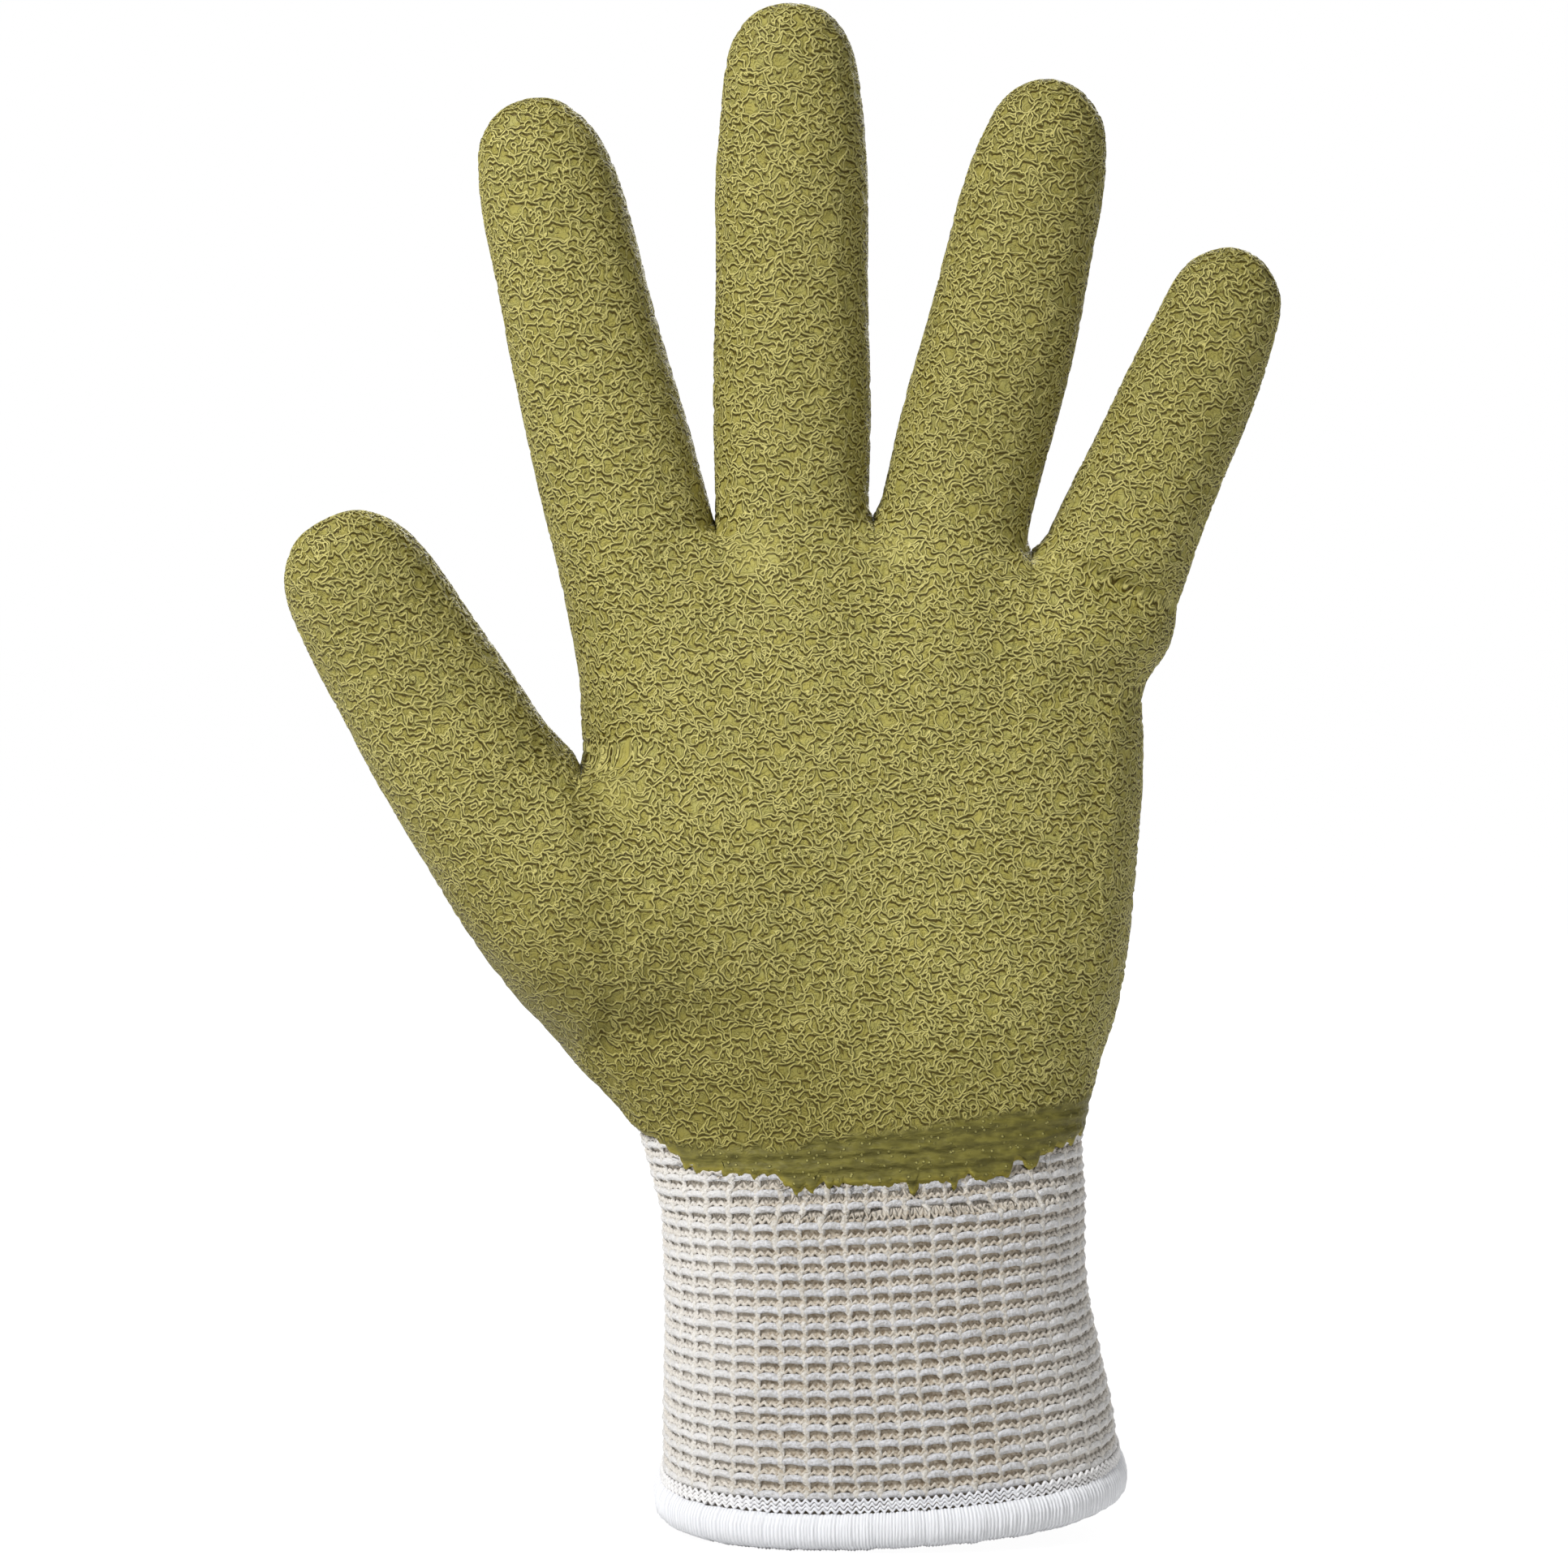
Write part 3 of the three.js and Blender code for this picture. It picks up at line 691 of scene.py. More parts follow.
def evened(data, values, rounds):
    """Each point's value averaged with its neighbours' a few times over."""
    ends = np.zeros(len(data.edges) * 2, dtype=int)
    data.edges.foreach_get("vertices", ends)
    first, second = ends.reshape(-1, 2).T
    count = np.bincount(ends, minlength=len(values))[:, None] + 1
    for _ in range(rounds):
        total = values.copy()
        np.add.at(total, first, values[second])
        np.add.at(total, second, values[first])
        values = total / count
    return values


def spread_out(data, places, normals):
    """The skin laid flat, near enough: a digit's round sides open outwards like a peel."""
    behind = np.maximum(places[:, 1] / MM - front_reach(places), 0.0)
    angle = np.arccos(np.clip(-normals[:, 1], -1.0, 1.0))
    peel = (angle - np.sin(angle)) / np.maximum(1.0 - np.cos(angle), 1e-4)
    sideways = normals[:, [0, 2]]
    sideways = sideways / np.maximum(np.linalg.norm(sideways, axis=1), 1e-4)[:, None]
    flat = np.zeros(places.shape)
    opened = evened(data, sideways * (behind * peel)[:, None], PEEL_ROUNDS)
    flat[:, :2] = places[:, [0, 2]] / MM + opened
    return flat


lip_points, rest_places, fields = shape_lip(skin)
print("lip points:", lip_points)

# %% [markdown]
# The sheet still has no back. A coarse copy of it, a little under a millimetre deeper, closes
# the shell. Every corner of its edge has a twin on the fine edge, so a fan of triangles
# joins the two.

# %% Close the shell of the latex
BACKING_DEPTH = 0.85 * MM


def edge_loops(data):
    sides = {}
    for polygon in data.polygons:
        loop = list(polygon.vertices)
        sides.update(dict.fromkeys(zip(loop, loop[1:] + loop[:1])))
    after = {a: b for a, b in sides if (b, a) not in sides}
    loops = []
    while after:
        start, current = next(iter(after.items()))
        loop = [start]
        del after[start]
        while current != start:
            loop.append(current)
            current = after.pop(current)
        loops.append(loop)
    return loops


def close_shell(piece, coarse, fine_rest, fields):
    places = coordinates(coarse.data)
    depth = np.array([vertex.normal for vertex in coarse.data.vertices]) * BACKING_DEPTH
    tree = point_tree(fine_rest)
    nearest = [tree.find(place)[1] for place in places]
    slid = places + (coordinates(piece.data) - fine_rest)[nearest]
    twins = {}
    for loop in edge_loops(coarse.data):
        for i in loop:
            twins[tree.find(places[i])[1]] = i
    start = len(fine_rest)
    faces = [list(polygon.vertices) for polygon in piece.data.polygons]
    inner = [[start + i for i in reversed(polygon.vertices)] for polygon in coarse.data.polygons]
    rim = []
    for loop in edge_loops(piece.data):
        marks = [n for n, i in enumerate(loop) if i in twins]
        for m, mark in enumerate(marks):
            last = marks[(m + 1) % len(marks)]
            span = (last - mark) % len(loop) or len(loop)
            here, there = start + twins[loop[mark]], start + twins[loop[last]]
            half = span // 2
            for step in range(span):
                a, b = loop[(mark + step) % len(loop)], loop[(mark + step + 1) % len(loop)]
                rim.append([b, a, here if step < half else there])
                if step == half:
                    rim.append([a, here, there])
    mesh = bpy.data.meshes.new("latex_skin")
    everything = np.vstack([coordinates(piece.data), slid - depth])
    mesh.from_pydata(everything.tolist(), [], faces + inner + rim)
    for name, values in fields.items():
        flat = values.ndim == 1
        tail = np.zeros((len(places), *values.shape[1:]))
        kind, key = ("FLOAT", "value") if flat else ("FLOAT_VECTOR", "vector")
        new = mesh.attributes.new(name, kind, "POINT")
        new.data.foreach_set(key, np.concatenate([values, tail]).ravel())
    mesh.validate()
    mesh.shade_smooth()
    piece.data = mesh
    bpy.data.objects.remove(coarse)
    return len(rim)


print("rim triangles:", close_shell(skin, backing, rest_places, fields))
check = to_bmesh(skin.data)
print("open edges:", sum(len(e.link_faces) != 2 for e in check.edges))
print("volume cm3:", round(check.calc_volume() * 1e6, 2))
check.free()

# %% [markdown]
# The crinkle comes from spraying solvent on the wet latex: the skin swells, folds into thin
# winding ridges and leaves smooth little fields between them. Cells of a Voronoi pattern make
# the fields, and bending space with noise first makes their borders wind. The same recipe
# serves twice, for real relief in Geometry Nodes and for the finer bump in the material,
# which also paints a pale highlight along each crest and a dark shadow in the crease under it.

# %% A recipe for the crinkle, in millimetres
FULL_TURN = 2 * math.pi
SLOPE_STEP = 0.07
BEND = {"Scale": 0.45, "Detail": 1.0, "Roughness": 0.4, "Lacunarity": 2.3}
BEND_REACH = (4.7, 4.3, 0.0)
CELL_SHAPE = (0.44, 0.66, 0.0)
MOUND_WIDTH = 0.62
CREST = (0.07, 0.28)
WEBS = [(-23.1, 154.3, 5.5), (0.5, 155.6, 4.5), (25.0, 152.6, 4.5), (-44.0, 116.0, 6.0)]
ROW_PITCH = 2.5


def crinkle_ends(tree, place):
    """1 on the crinkled latex and 0 on the smooth band above the wrist."""
    x, _, z = tree.split(place)
    ragged = tree.noise(place, 0.35) - 0.5
    line = tree.maths("MAXIMUM", (x + 21.0) * 0.14, 0.0) + 59.6
    return tree.step(z - line - ragged * 4.0, -0.8, 0.8)


def webs(tree, place):
    """1 on the smooth pads where the latex is stretched between the digits."""
    flat = tree.stretch(place, (1.0, 0.0, 1.4))
    ragged = (tree.noise(place, 0.3) - 0.5) * 7.0
    pads = 0.0
    for x, z, size in WEBS:
        away = tree.vectors("DISTANCE", flat, (x, 0.0, z * 1.4), output="Value") + ragged
        pads = tree.maths("MAXIMUM", 1.0 - tree.step(away, size * 0.3, size * 1.2), pads)
    return pads


def border_of_cells(tree, spread):
    """A Voronoi border distance in a space that noise of two sizes has bent."""
    settings = {"noise_dimensions": "2D"}
    bend = tree.get("ShaderNodeTexNoise", "Color", settings, {"Vector": spread, **BEND})
    bend = tree.stretch(tree.vectors("SUBTRACT", bend, (0.5,) * 3), BEND_REACH)
    bent = tree.vectors("ADD", spread, bend)
    return tree.cells(tree.stretch(bent, CELL_SHAPE), 1.0, "DISTANCE_TO_EDGE")


def ridge_distance(tree, spread):
    """Millimetres to the nearest ridge, and how fast the border distance grows there.

    Bent space would make some ridges fat and others thin. Dividing by the slope, measured
    between two points a small step apart, gives them all the same width.
    """
    here = border_of_cells(tree, spread)
    aside = border_of_cells(tree, tree.vectors("ADD", spread, (SLOPE_STEP, 0.0, 0.0)))
    above = border_of_cells(tree, tree.vectors("ADD", spread, (0.0, SLOPE_STEP, 0.0)))
    dx, dz = (aside - here) / SLOPE_STEP, (above - here) / SLOPE_STEP
    slope = tree.maths("MAXIMUM", tree.maths("SQRT", dx * dx + dz * dz), 0.12)
    return here / slope, slope


def crinkle_relief(tree, spread, place):
    """Soft mounds along the ridges, wide enough for the mesh to carry them."""
    distance, _ = ridge_distance(tree, spread)
    mounds = 1.0 - tree.step(distance, 0.0, MOUND_WIDTH)
    crinkled = crinkle_ends(tree, place)
    mounds = mounds * crinkled * (1.0 - webs(tree, place) * 0.7)
    return mounds + rows_under(tree, place) * (1.0 - crinkled)


def rows_under(tree, place):
    """The knitted rows that show through the smooth band, as a soft wave."""
    x, _, z = tree.split(place)
    uneven = tree.noise(place, 0.25)
    count = (z - x * 0.05 + uneven * 1.6) / ROW_PITCH
    return tree.maths("SINE", count * FULL_TURN) * 0.35


def crest_at(tree, distance):
    """1 along the crest of a ridge, narrow enough to read as a fold."""
    return 1.0 - tree.step(distance, *CREST)


print("crinkle recipe ready, smooth pads:", len(WEBS))


# %% Raise the relief with Geometry Nodes
def geometry_tree(name, sizes):
    """A Geometry Nodes group whose inputs have a label and a kind each."""
    group = bpy.data.node_groups.new(name, "GeometryNodeTree")
    face = group.interface
    face.new_socket("Geometry", in_out="INPUT", socket_type="NodeSocketGeometry")
    for kind, labels in sizes.items():
        for label in labels:
            face.new_socket(label, in_out="INPUT", socket_type="NodeSocket" + kind)
    face.new_socket("Geometry", in_out="OUTPUT", socket_type="NodeSocketGeometry")
    tree = Tree(group)
    outputs = tree.node("NodeGroupInput").outputs
    given = {output.name: Wire(tree, output) for output in outputs if output.name}
    return tree, given, tree.node("NodeGroupOutput")


def use_tree(piece, tree, values):
    """Adds the tree as a modifier, sets its inputs by identifier, and bakes it."""
    modifier = piece.modifiers.new(tree.tree.name, "NODES")
    modifier.node_group = tree.tree
    for item in tree.tree.interface.items_tree:
        if item.in_out == "INPUT" and item.name in values:
            modifier[item.identifier] = values[item.name]
    return baked(piece)


def named_field(tree, name, kind):
    settings = {"data_type": kind}
    return tree.get("GeometryNodeInputNamedAttribute", "Attribute", settings, {"Name": name})


tree, given, end = geometry_tree("raise crinkle", {"Float": ["Height"]})
place = tree.in_mm(named_field(tree, "rest", "FLOAT_VECTOR"))
spread = named_field(tree, "spread", "FLOAT_VECTOR")
amount = crinkle_relief(tree, spread, place) * named_field(tree, "relief", "FLOAT")
shift = tree.scaled(tree.get("GeometryNodeInputNormal", 0), amount * given["Height"])
tree.feed(end.inputs[0], tree.change("SetPosition", given["Geometry"], Offset=shift))
use_tree(skin, tree, {"Height": 0.34 * MM})
print("latex skin points", len(skin.data.vertices))

# %% Mix the olive latex
# How far above a point, in the laid-flat map, a ridge casts its painted shadow.
SHADOW_OFFSET = 0.36
FIELD = paint(149, 141, 70)
PALE_FIELD = paint(162, 153, 79)
GREENER_FIELD = paint(156, 153, 90)
# Painted shade: field colours for the fingers and thumb, and for the palm towards the wrist.
FINGER_SHADE = paint(112, 105, 52)
WRIST_SHADE = paint(112, 104, 44)
# A painted shadow colour for the crease under each ridge, then two painted highlight colours for
# the crests, full and dimmed.
CREASE_SHADOW = paint(66, 54, 0)
CREST_HIGHLIGHT = paint(200, 191, 118)
DIMMED_CREST_HIGHLIGHT = paint(148, 139, 70)
# A painted highlight colour for the smooth pads between the digits.
PAD_HIGHLIGHT = paint(170, 163, 90)
BAND = paint(88, 83, 36)
PALE_BAND = paint(112, 106, 48)
BUBBLE = paint(176, 169, 100)
LIP = paint(158, 146, 58)
FINGERS_FROM = (150.0, 180.0)
INDEX_TO_RING = (-34.0, 14.0)
THUMB_TO_PALM = (-70.0, -38.0)
WRIST_TO_PALM = (64.0, 102.0)

olive, tree = new_finish("crinkled latex", Specular_IOR_Level=0.2)
spread = tree.stored("spread", "Vector")
edge = tree.stored("edge")
relief = tree.stored("relief")
place = tree.in_mm(tree.stored("rest", "Vector"))
distance, slope = ridge_distance(tree, spread)
# The crest mask raises the bump and places the painted highlight.
fold = crest_at(tree, distance) * relief
# Painted shadow: the crease just under each ridge is darkened.
over = tree.vectors("ADD", spread, (0.05, SHADOW_OFFSET, 0.0))
shadow_under_ridge = 1.0 - tree.step(border_of_cells(tree, over) / slope, 0.08, 0.34)
crease = shadow_under_ridge * (1.0 - fold) * relief
above = crinkle_ends(tree, place)
pads = webs(tree, place)
cloudy = tree.noise(spread, 0.1, 3.0)
greener = tree.step(tree.noise(spread, 0.4, 1.0), 0.45, 0.62)
field = tree.blend(tree.step(cloudy, 0.3, 0.7), FIELD, PALE_FIELD)
field = tree.blend(greener * 0.45, field, GREENER_FIELD)
x, _, z = tree.split(place)
# Painted shade on the fingers, deeper from the index towards the ring finger, and on the thumb.
painted_finger_shade = tree.step(z, *FINGERS_FROM) * (tree.step(x, *INDEX_TO_RING) * 0.5 + 0.4)
on_thumb = 1.0 - tree.step(x, *THUMB_TO_PALM)
painted_finger_shade = tree.maths("MAXIMUM", painted_finger_shade, on_thumb * 0.45)
field = tree.blend(painted_finger_shade * 0.4, field, FINGER_SHADE)
# Painted shade towards the wrist and the lower left of the palm.
painted_wrist_shade = 1.0 - tree.step(z + x * 0.45 + cloudy * 20.0, *WRIST_TO_PALM)
field = tree.blend(painted_wrist_shade * 0.75, field, WRIST_SHADE)
crinkled = tree.blend(crease, field, CREASE_SHADOW)
# Painted highlight: each crest is painted pale, and dimmed where painted shade lies on the
# fingers and near the wrist.
highlight_dimming = tree.maths("MAXIMUM", painted_wrist_shade, painted_finger_shade * 0.4)
crest = tree.blend(highlight_dimming * 0.55, CREST_HIGHLIGHT, DIMMED_CREST_HIGHLIGHT)
crinkled = tree.blend(fold * 0.8, crinkled, crest)
# Painted highlight on the smooth pads between the digits.
crinkled = tree.blend(pads * 0.2, crinkled, PAD_HIGHLIGHT)
bubbles = 1.0 - tree.step(tree.cells(spread, 0.75, "F1"), 0.1, 0.22)
bubbles = bubbles * tree.step(tree.noise(spread, 0.5, 1.0), 0.47, 0.56)
streaks = tree.noise(tree.stretch(place, (0.5, 0.5, 1.6)), 0.8, 3.0)
band = tree.blend(tree.step(streaks, 0.35, 0.65), BAND, PALE_BAND)
band = tree.blend(bubbles * 0.6, band, BUBBLE)
colour = tree.blend(above, band, crinkled)
colour = tree.blend(edge * 0.7, colour, LIP)
band_height = rows_under(tree, place) + streaks * 0.9 + bubbles * 0.5
crinkle_height = (fold + tree.step(distance, 0.3, 1.0) * 0.3) * (1.0 - pads * 0.5)
height = above * crinkle_height + (1.0 - above) * band_height
finish_with(tree, colour, 0.62 - cloudy * 0.12, height, 0.6 * MM)
dress(skin, olive)
print("latex finish nodes:", len(tree.tree.nodes))

# %% [markdown]
# The liner is plain jersey: columns of V-shaped stitches that run along the hand and along
# each digit. The pattern is drawn in a frame turned by each digit's lean.

# %% White jersey
SHADED = paint(196, 185, 168)
ROWS_END = 65.5
STITCH = (1.7, 1.3)


def jersey(name, centre, lean):
    material, tree = new_finish(name, Specular_IOR_Level=0.2, Sheen_Weight=0.25)
    where = tree.get("ShaderNodeTexCoord", "Object")
    pose = {
        "Vector": where,
        "Location": (centre[0] * MM, 0.0, centre[1] * MM),
        "Rotation": (0.0, math.radians(-lean), 0.0),
    }
    turned = tree.get("ShaderNodeMapping", "Vector", {"vector_type": "TEXTURE"}, pose)
    place = tree.in_mm(turned)
    wobble = tree.stretch(tree.noise(place, 0.3, output="Color"), (0.5,) * 3)
    x, _, z = tree.split(tree.vectors("ADD", place, wobble))
    across = tree.maths("ABSOLUTE", tree.maths("FRACT", x / STITCH[0]) - 0.5) * 2.0
    along = tree.maths("FRACT", z / STITCH[1] - across * 0.85)
    leg = tree.maths("SINE", across * math.pi) ** 0.5
    course = tree.maths("SINE", along * math.pi) ** 0.6
    stitch = leg * course
    fluff = tree.noise(place, 6.0, 3.0)
    height = stitch + fluff * 0.25
    pale = tree.blend(fluff, paint(226, 225, 222), paint(240, 239, 237))
    # Painted shade: the gaps between the stitches are darker.
    colour = tree.blend(stitch, paint(170, 165, 156), pale)
    _, _, world_z = tree.split(tree.in_mm(where))
    rows_over = 1.0 - tree.step(world_z, ROWS_END - 1.0, ROWS_END)
    colour = tree.blend(rows_over * 0.8, colour, SHADED)
    finish_with(tree, colour, 0.9 - stitch * 0.05, height, 0.45 * MM)
    return material


dress(knit_palm, jersey("palm jersey", (-5.0, 50.0), 0.0))
for name, (centre, lean) in STALLS.items():
    dress(stalls[name], jersey(name.replace("_", " ") + " jersey", centre, lean))
print("jersey on the palm and on", len(STALLS), "stalls")

# %% [markdown]
# The cuff is knitted with an elastic thread laid in. Each row shows a raised bar, then a
# shaded hollow, then small wavy loops, and upright joins part the hollows into cells. Each
# of these is a long tube of yarn. Its middle line is cast onto the knitted surface from
# outside, then lifted at the bars and let down between them. One recipe makes them all: rows
# run round the cuff, and joins run up it.

# %% Sizes of the cuff's yarns
ROW_SIZES = {
    "Object": ["Ground", "Upper ground"],
    "Int": ["Rows", "Cells", "Steps"],
    "Float": [
        "First row", "Row pitch", "Half height", "Half depth", "Base", "Lift", "Rise",
        "Neck", "Wave", "Waves", "Seed",
    ],
    "Material": ["Yarn"],
}
PROFILE = 6
CUFF_TOP = 49.0
CUFF_LOW = 2.3
CLIMB = math.tan(math.radians(2.9))
TILT = math.tan(math.radians(7.0))
WRIST = (33.7, 23.0)
MOUTH = (36.2, 26.0)
WRIST_SHIFT = -2.8
SQUASH = 0.095
FAR_OUT = 0.1
OUT_SHARE = 0.6
WELD = 0.000002
print("yarn inputs:", sum(len(labels) for labels in ROW_SIZES.values()))

# %% Copy a flat strip once for every yarn
def many_strips(tree, given):
    """The strips as one mesh, and how far along, how far round and which yarn a point is."""
    sizes = {"Size X": 1.0, "Size Y": 1.0, "Vertices Y": PROFILE + 1}
    sizes["Vertices X"] = given["Cells"] * given["Steps"] + 1.0
    grid = tree.get("GeometryNodeMeshGrid", 0, None, sizes)
    where = tree.get("GeometryNodeInputPosition", 0)
    vector = {"data_type": "FLOAT_VECTOR", "domain": "POINT"}
    strip = tree.change("StoreNamedAttribute", grid, vector, Name="strip", Value=where)
    line = {"Count": given["Rows"], "Offset": (0.0, 0.0, 0.0)}
    points = tree.get("GeometryNodeMeshLine", 0, {"mode": "OFFSET"}, line)
    copies = {"Points": points, "Instance": strip}
    many = tree.get("GeometryNodeInstanceOnPoints", 0, None, copies)
    number = {"data_type": "FLOAT", "domain": "INSTANCE"}
    row = tree.get("GeometryNodeInputIndex", 0)
    many = tree.change("StoreNamedAttribute", many, number, Name="row", Value=row)
    strips = tree.change("RealizeInstances", many)
    u, v, _ = tree.split(named_field(tree, "strip", "FLOAT_VECTOR"))
    return strips, u + 0.5, v, named_field(tree, "row", "FLOAT")


def on_the_cuff(tree, given, turn, level):
    """The point of the knit at a turn and a height, and the directions of its surface."""
    c, s = tree.maths("COSINE", turn), tree.maths("SINE", turn)
    up = (level - CUFF_LOW) / (CUFF_TOP - CUFF_LOW)
    inside = tree.maths("MINIMUM", tree.maths("MAXIMUM", up, 0.0), 1.0)
    half_x = MOUTH[0] + inside * (WRIST[0] - MOUTH[0])
    half_y = MOUTH[1] + inside * (WRIST[1] - MOUTH[1])
    z = level + c * half_x * CLIMB + s * half_y * (1.0 - up) * TILT
    middle_line = tree.scaled(tree.join(inside * WRIST_SHIFT, 0.0, z), MM)
    heading = tree.vectors("NORMALIZE", tree.join(c * half_x, s * half_y, 0.0))
    both = tree.node("GeometryNodeJoinGeometry")
    for label in ("Ground", "Upper ground"):
        relative = {"transform_space": "RELATIVE"}
        seen = tree.get("GeometryNodeObjectInfo", "Geometry", relative, {"Object": given[label]})
        tree.feed(both.inputs[0], seen)
    ray = {
        "Target Geometry": Wire(tree, both.outputs[0]),
        "Source Position": tree.vectors("ADD", middle_line, tree.scaled(heading, FAR_OUT)),
        "Ray Direction": tree.scaled(heading, -1.0),
        "Ray Length": FAR_OUT,
    }
    cast = tree.node("GeometryNodeRaycast", {"data_type": "FLOAT"}, ray)
    hit, facing = Wire(tree, cast.outputs["Hit Position"]), Wire(tree, cast.outputs["Hit Normal"])
    out = tree.vectors("NORMALIZE", tree.vectors("ADD", facing, tree.scaled(heading, OUT_SHARE)))
    side = tree.vectors("NORMALIZE", tree.vectors("CROSS_PRODUCT", out, (0.0, 0.0, 1.0)))
    return hit, out, side, tree.vectors("CROSS_PRODUCT", side, out)


print("strips have", PROFILE, "sides")

# %% Wrap the strips into yarn
def yarn_tree(name, upright):
    tree, given, end = geometry_tree(name, ROW_SIZES)
    strips, u, v, row = many_strips(tree, given)
    share = row / given["Rows"] if upright else u
    turn = share * FULL_TURN
    turn = turn + tree.maths("SINE", turn * 2.0) * SQUASH
    cell = tree.maths("FRACT", u * given["Cells"])
    middle = tree.maths("SINE", cell * math.pi)
    bar = tree.step(middle, 0.0, 0.75)
    key = tree.join(tree.maths("FLOOR", u * given["Cells"]), row, given["Seed"])
    settings = {"noise_dimensions": "3D"}
    chance = tree.get("ShaderNodeTexWhiteNoise", "Value", settings, {"Vector": key})
    wave = tree.maths("COSINE", u * given["Cells"] * given["Waves"] * FULL_TURN)
    wave = wave * given["Wave"]
    if upright:
        spot = tree.join(row * 3.0, u * 9.0, given["Seed"])
        wander = (tree.noise(spot, 1.6) - 0.5) * 1.2
        turn = turn + (wander + wave) / MOUTH[0]
        level = given["First row"] + u * given["Cells"] * given["Row pitch"]
    else:
        c, s = tree.maths("COSINE", turn), tree.maths("SINE", turn)
        spot = tree.join(c * 3.0, s * 3.0, row * 5.0 + given["Seed"])
        wander = (tree.noise(spot, 1.6) - 0.5) * 0.5
        level = given["First row"] + row * given["Row pitch"]
        level = level + wander + wave + middle * given["Rise"]
    hit, out, side, upward = on_the_cuff(tree, given, turn, level)
    size = given["Neck"] + bar * (1.0 - given["Neck"])
    spot = tree.join(u * given["Cells"] * 3.0, v * 2.0, row * 7.0 + given["Seed"])
    size = size * (0.74 + chance * 0.16 + tree.noise(spot, 1.3) * 0.36)
    if upright:
        from_end = tree.maths("MINIMUM", u, 1.0 - u)
        size = size * tree.step(from_end, 0.0, 0.012)
    lift = given["Base"] + given["Lift"] * bar * (0.8 + chance * 0.4)
    round_turn = v * FULL_TURN
    deep = tree.maths("COSINE", round_turn) * given["Half depth"] * size + lift
    wide = tree.maths("SINE", round_turn) * given["Half height"] * size
    across = side if upright else upward
    offset = tree.vectors("ADD", tree.scaled(out, deep * MM), tree.scaled(across, wide * MM))
    place = tree.vectors("ADD", hit, offset)
    moved = tree.change("SetPosition", strips, Position=place)
    welded = tree.change("MergeByDistance", moved, Distance=WELD)
    shaded = tree.change("SetShadeSmooth", welded)
    tree.feed(end.inputs[0], tree.change("SetMaterial", shaded, Material=given["Yarn"]))
    return tree


rows_tree = yarn_tree("yarn rows", upright=False)
joins_tree = yarn_tree("yarn joins", upright=True)
print("yarn tree nodes:", len(rows_tree.tree.nodes), "and", len(joins_tree.tree.nodes))


# %% Dye the yarns
def yarn(name, light, dark, twist):
    material, tree = new_finish(name, Specular_IOR_Level=0.2, Sheen_Weight=0.2)
    place = tree.in_mm(tree.get("ShaderNodeTexCoord", "Object"))
    fluff = tree.noise(place, 2.0, 4.0)
    patches = tree.noise(place, 0.35)
    colour = tree.blend(tree.step(fluff * 0.7 + patches * 0.3, 0.36, 0.62), dark, light)
    # Painted light: every yarn is painted paler towards the cuff's left and right sides, which
    # lessens its shade there.
    sideways, _, _ = tree.split(place)
    side = tree.step(tree.maths("ABSOLUTE", sideways), 16.0, 34.0)
    colour = tree.blend(side * 0.55, colour, paint(229, 226, 221))
    finish_with(tree, colour, 0.85 + fluff * 0.1, fluff, twist * MM)
    return material


bar_yarn = yarn("white bar yarn", paint(207, 207, 210), paint(176, 174, 172), 0.5)
loop_yarn = yarn("cream loop yarn", paint(208, 200, 187), paint(172, 160, 142), 0.5)
join_yarn = yarn("pale join yarn", paint(213, 209, 202), paint(182, 175, 163), 0.5)
ground_yarn = yarn("shaded ground yarn", SHADED, paint(142, 127, 107), 0.3)
print("yarns dyed:", bar_yarn.name, loop_yarn.name, join_yarn.name, ground_yarn.name, sep=", ")

# %% [markdown]
# The latex runs down over the first rows at the front. Yarn that it covers, or that lies
# just under its lip, is pressed below its outer surface, so nothing pokes through the coating.

# %% Press covered yarn under the latex
TUCK = 0.35 * MM
TUCK_ABOVE = 44.0 * MM
RAY_START = 8.0 * MM
OVERLAP = Vector((0.0, 0.0, 0.7 * MM))
latex_surface = BVHTree.FromObject(skin, bpy.context.evaluated_depsgraph_get())


def tuck_under_latex(piece):
    places = coordinates(piece.data)
    tucked = 0
    for i in np.flatnonzero(places[:, 2] > TUCK_ABOVE):
        place = Vector(places[i])
        out = Vector((place.x - WRIST_SHIFT * MM, place.y, 0.0)).normalized()
        start = place + OVERLAP + out * RAY_START
        hit = latex_surface.ray_cast(start, -out, 2 * RAY_START)[0]
        if hit is not None and (place + OVERLAP - hit).dot(out) > -TUCK:
            places[i] = hit - OVERLAP - out * TUCK
            tucked += 1
    move_points(piece.data, places)
    return tucked


def yarn_piece(name, tree, values):
    piece = into_scene(name, bpy.data.meshes.new(name))
    use_tree(piece, tree, {"Ground": cuff_ground, "Upper ground": knit_palm, **values})
    mesh = to_bmesh(piece.data)
    bmesh.ops.recalc_face_normals(mesh, faces=mesh.faces)
    back_to(piece.data, mesh)
    for attribute in ("strip", "row"):
        if attribute in piece.data.attributes:
            piece.data.attributes.remove(piece.data.attributes[attribute])
    tucked = tuck_under_latex(piece)
    piece.data.shade_smooth()
    triangles = sum(len(polygon.vertices) - 2 for polygon in piece.data.polygons)
    print(name, "triangles", triangles, "tucked", tucked)
    return piece


print("yarn is tucked above", round(TUCK_ABOVE / MM), "mm")

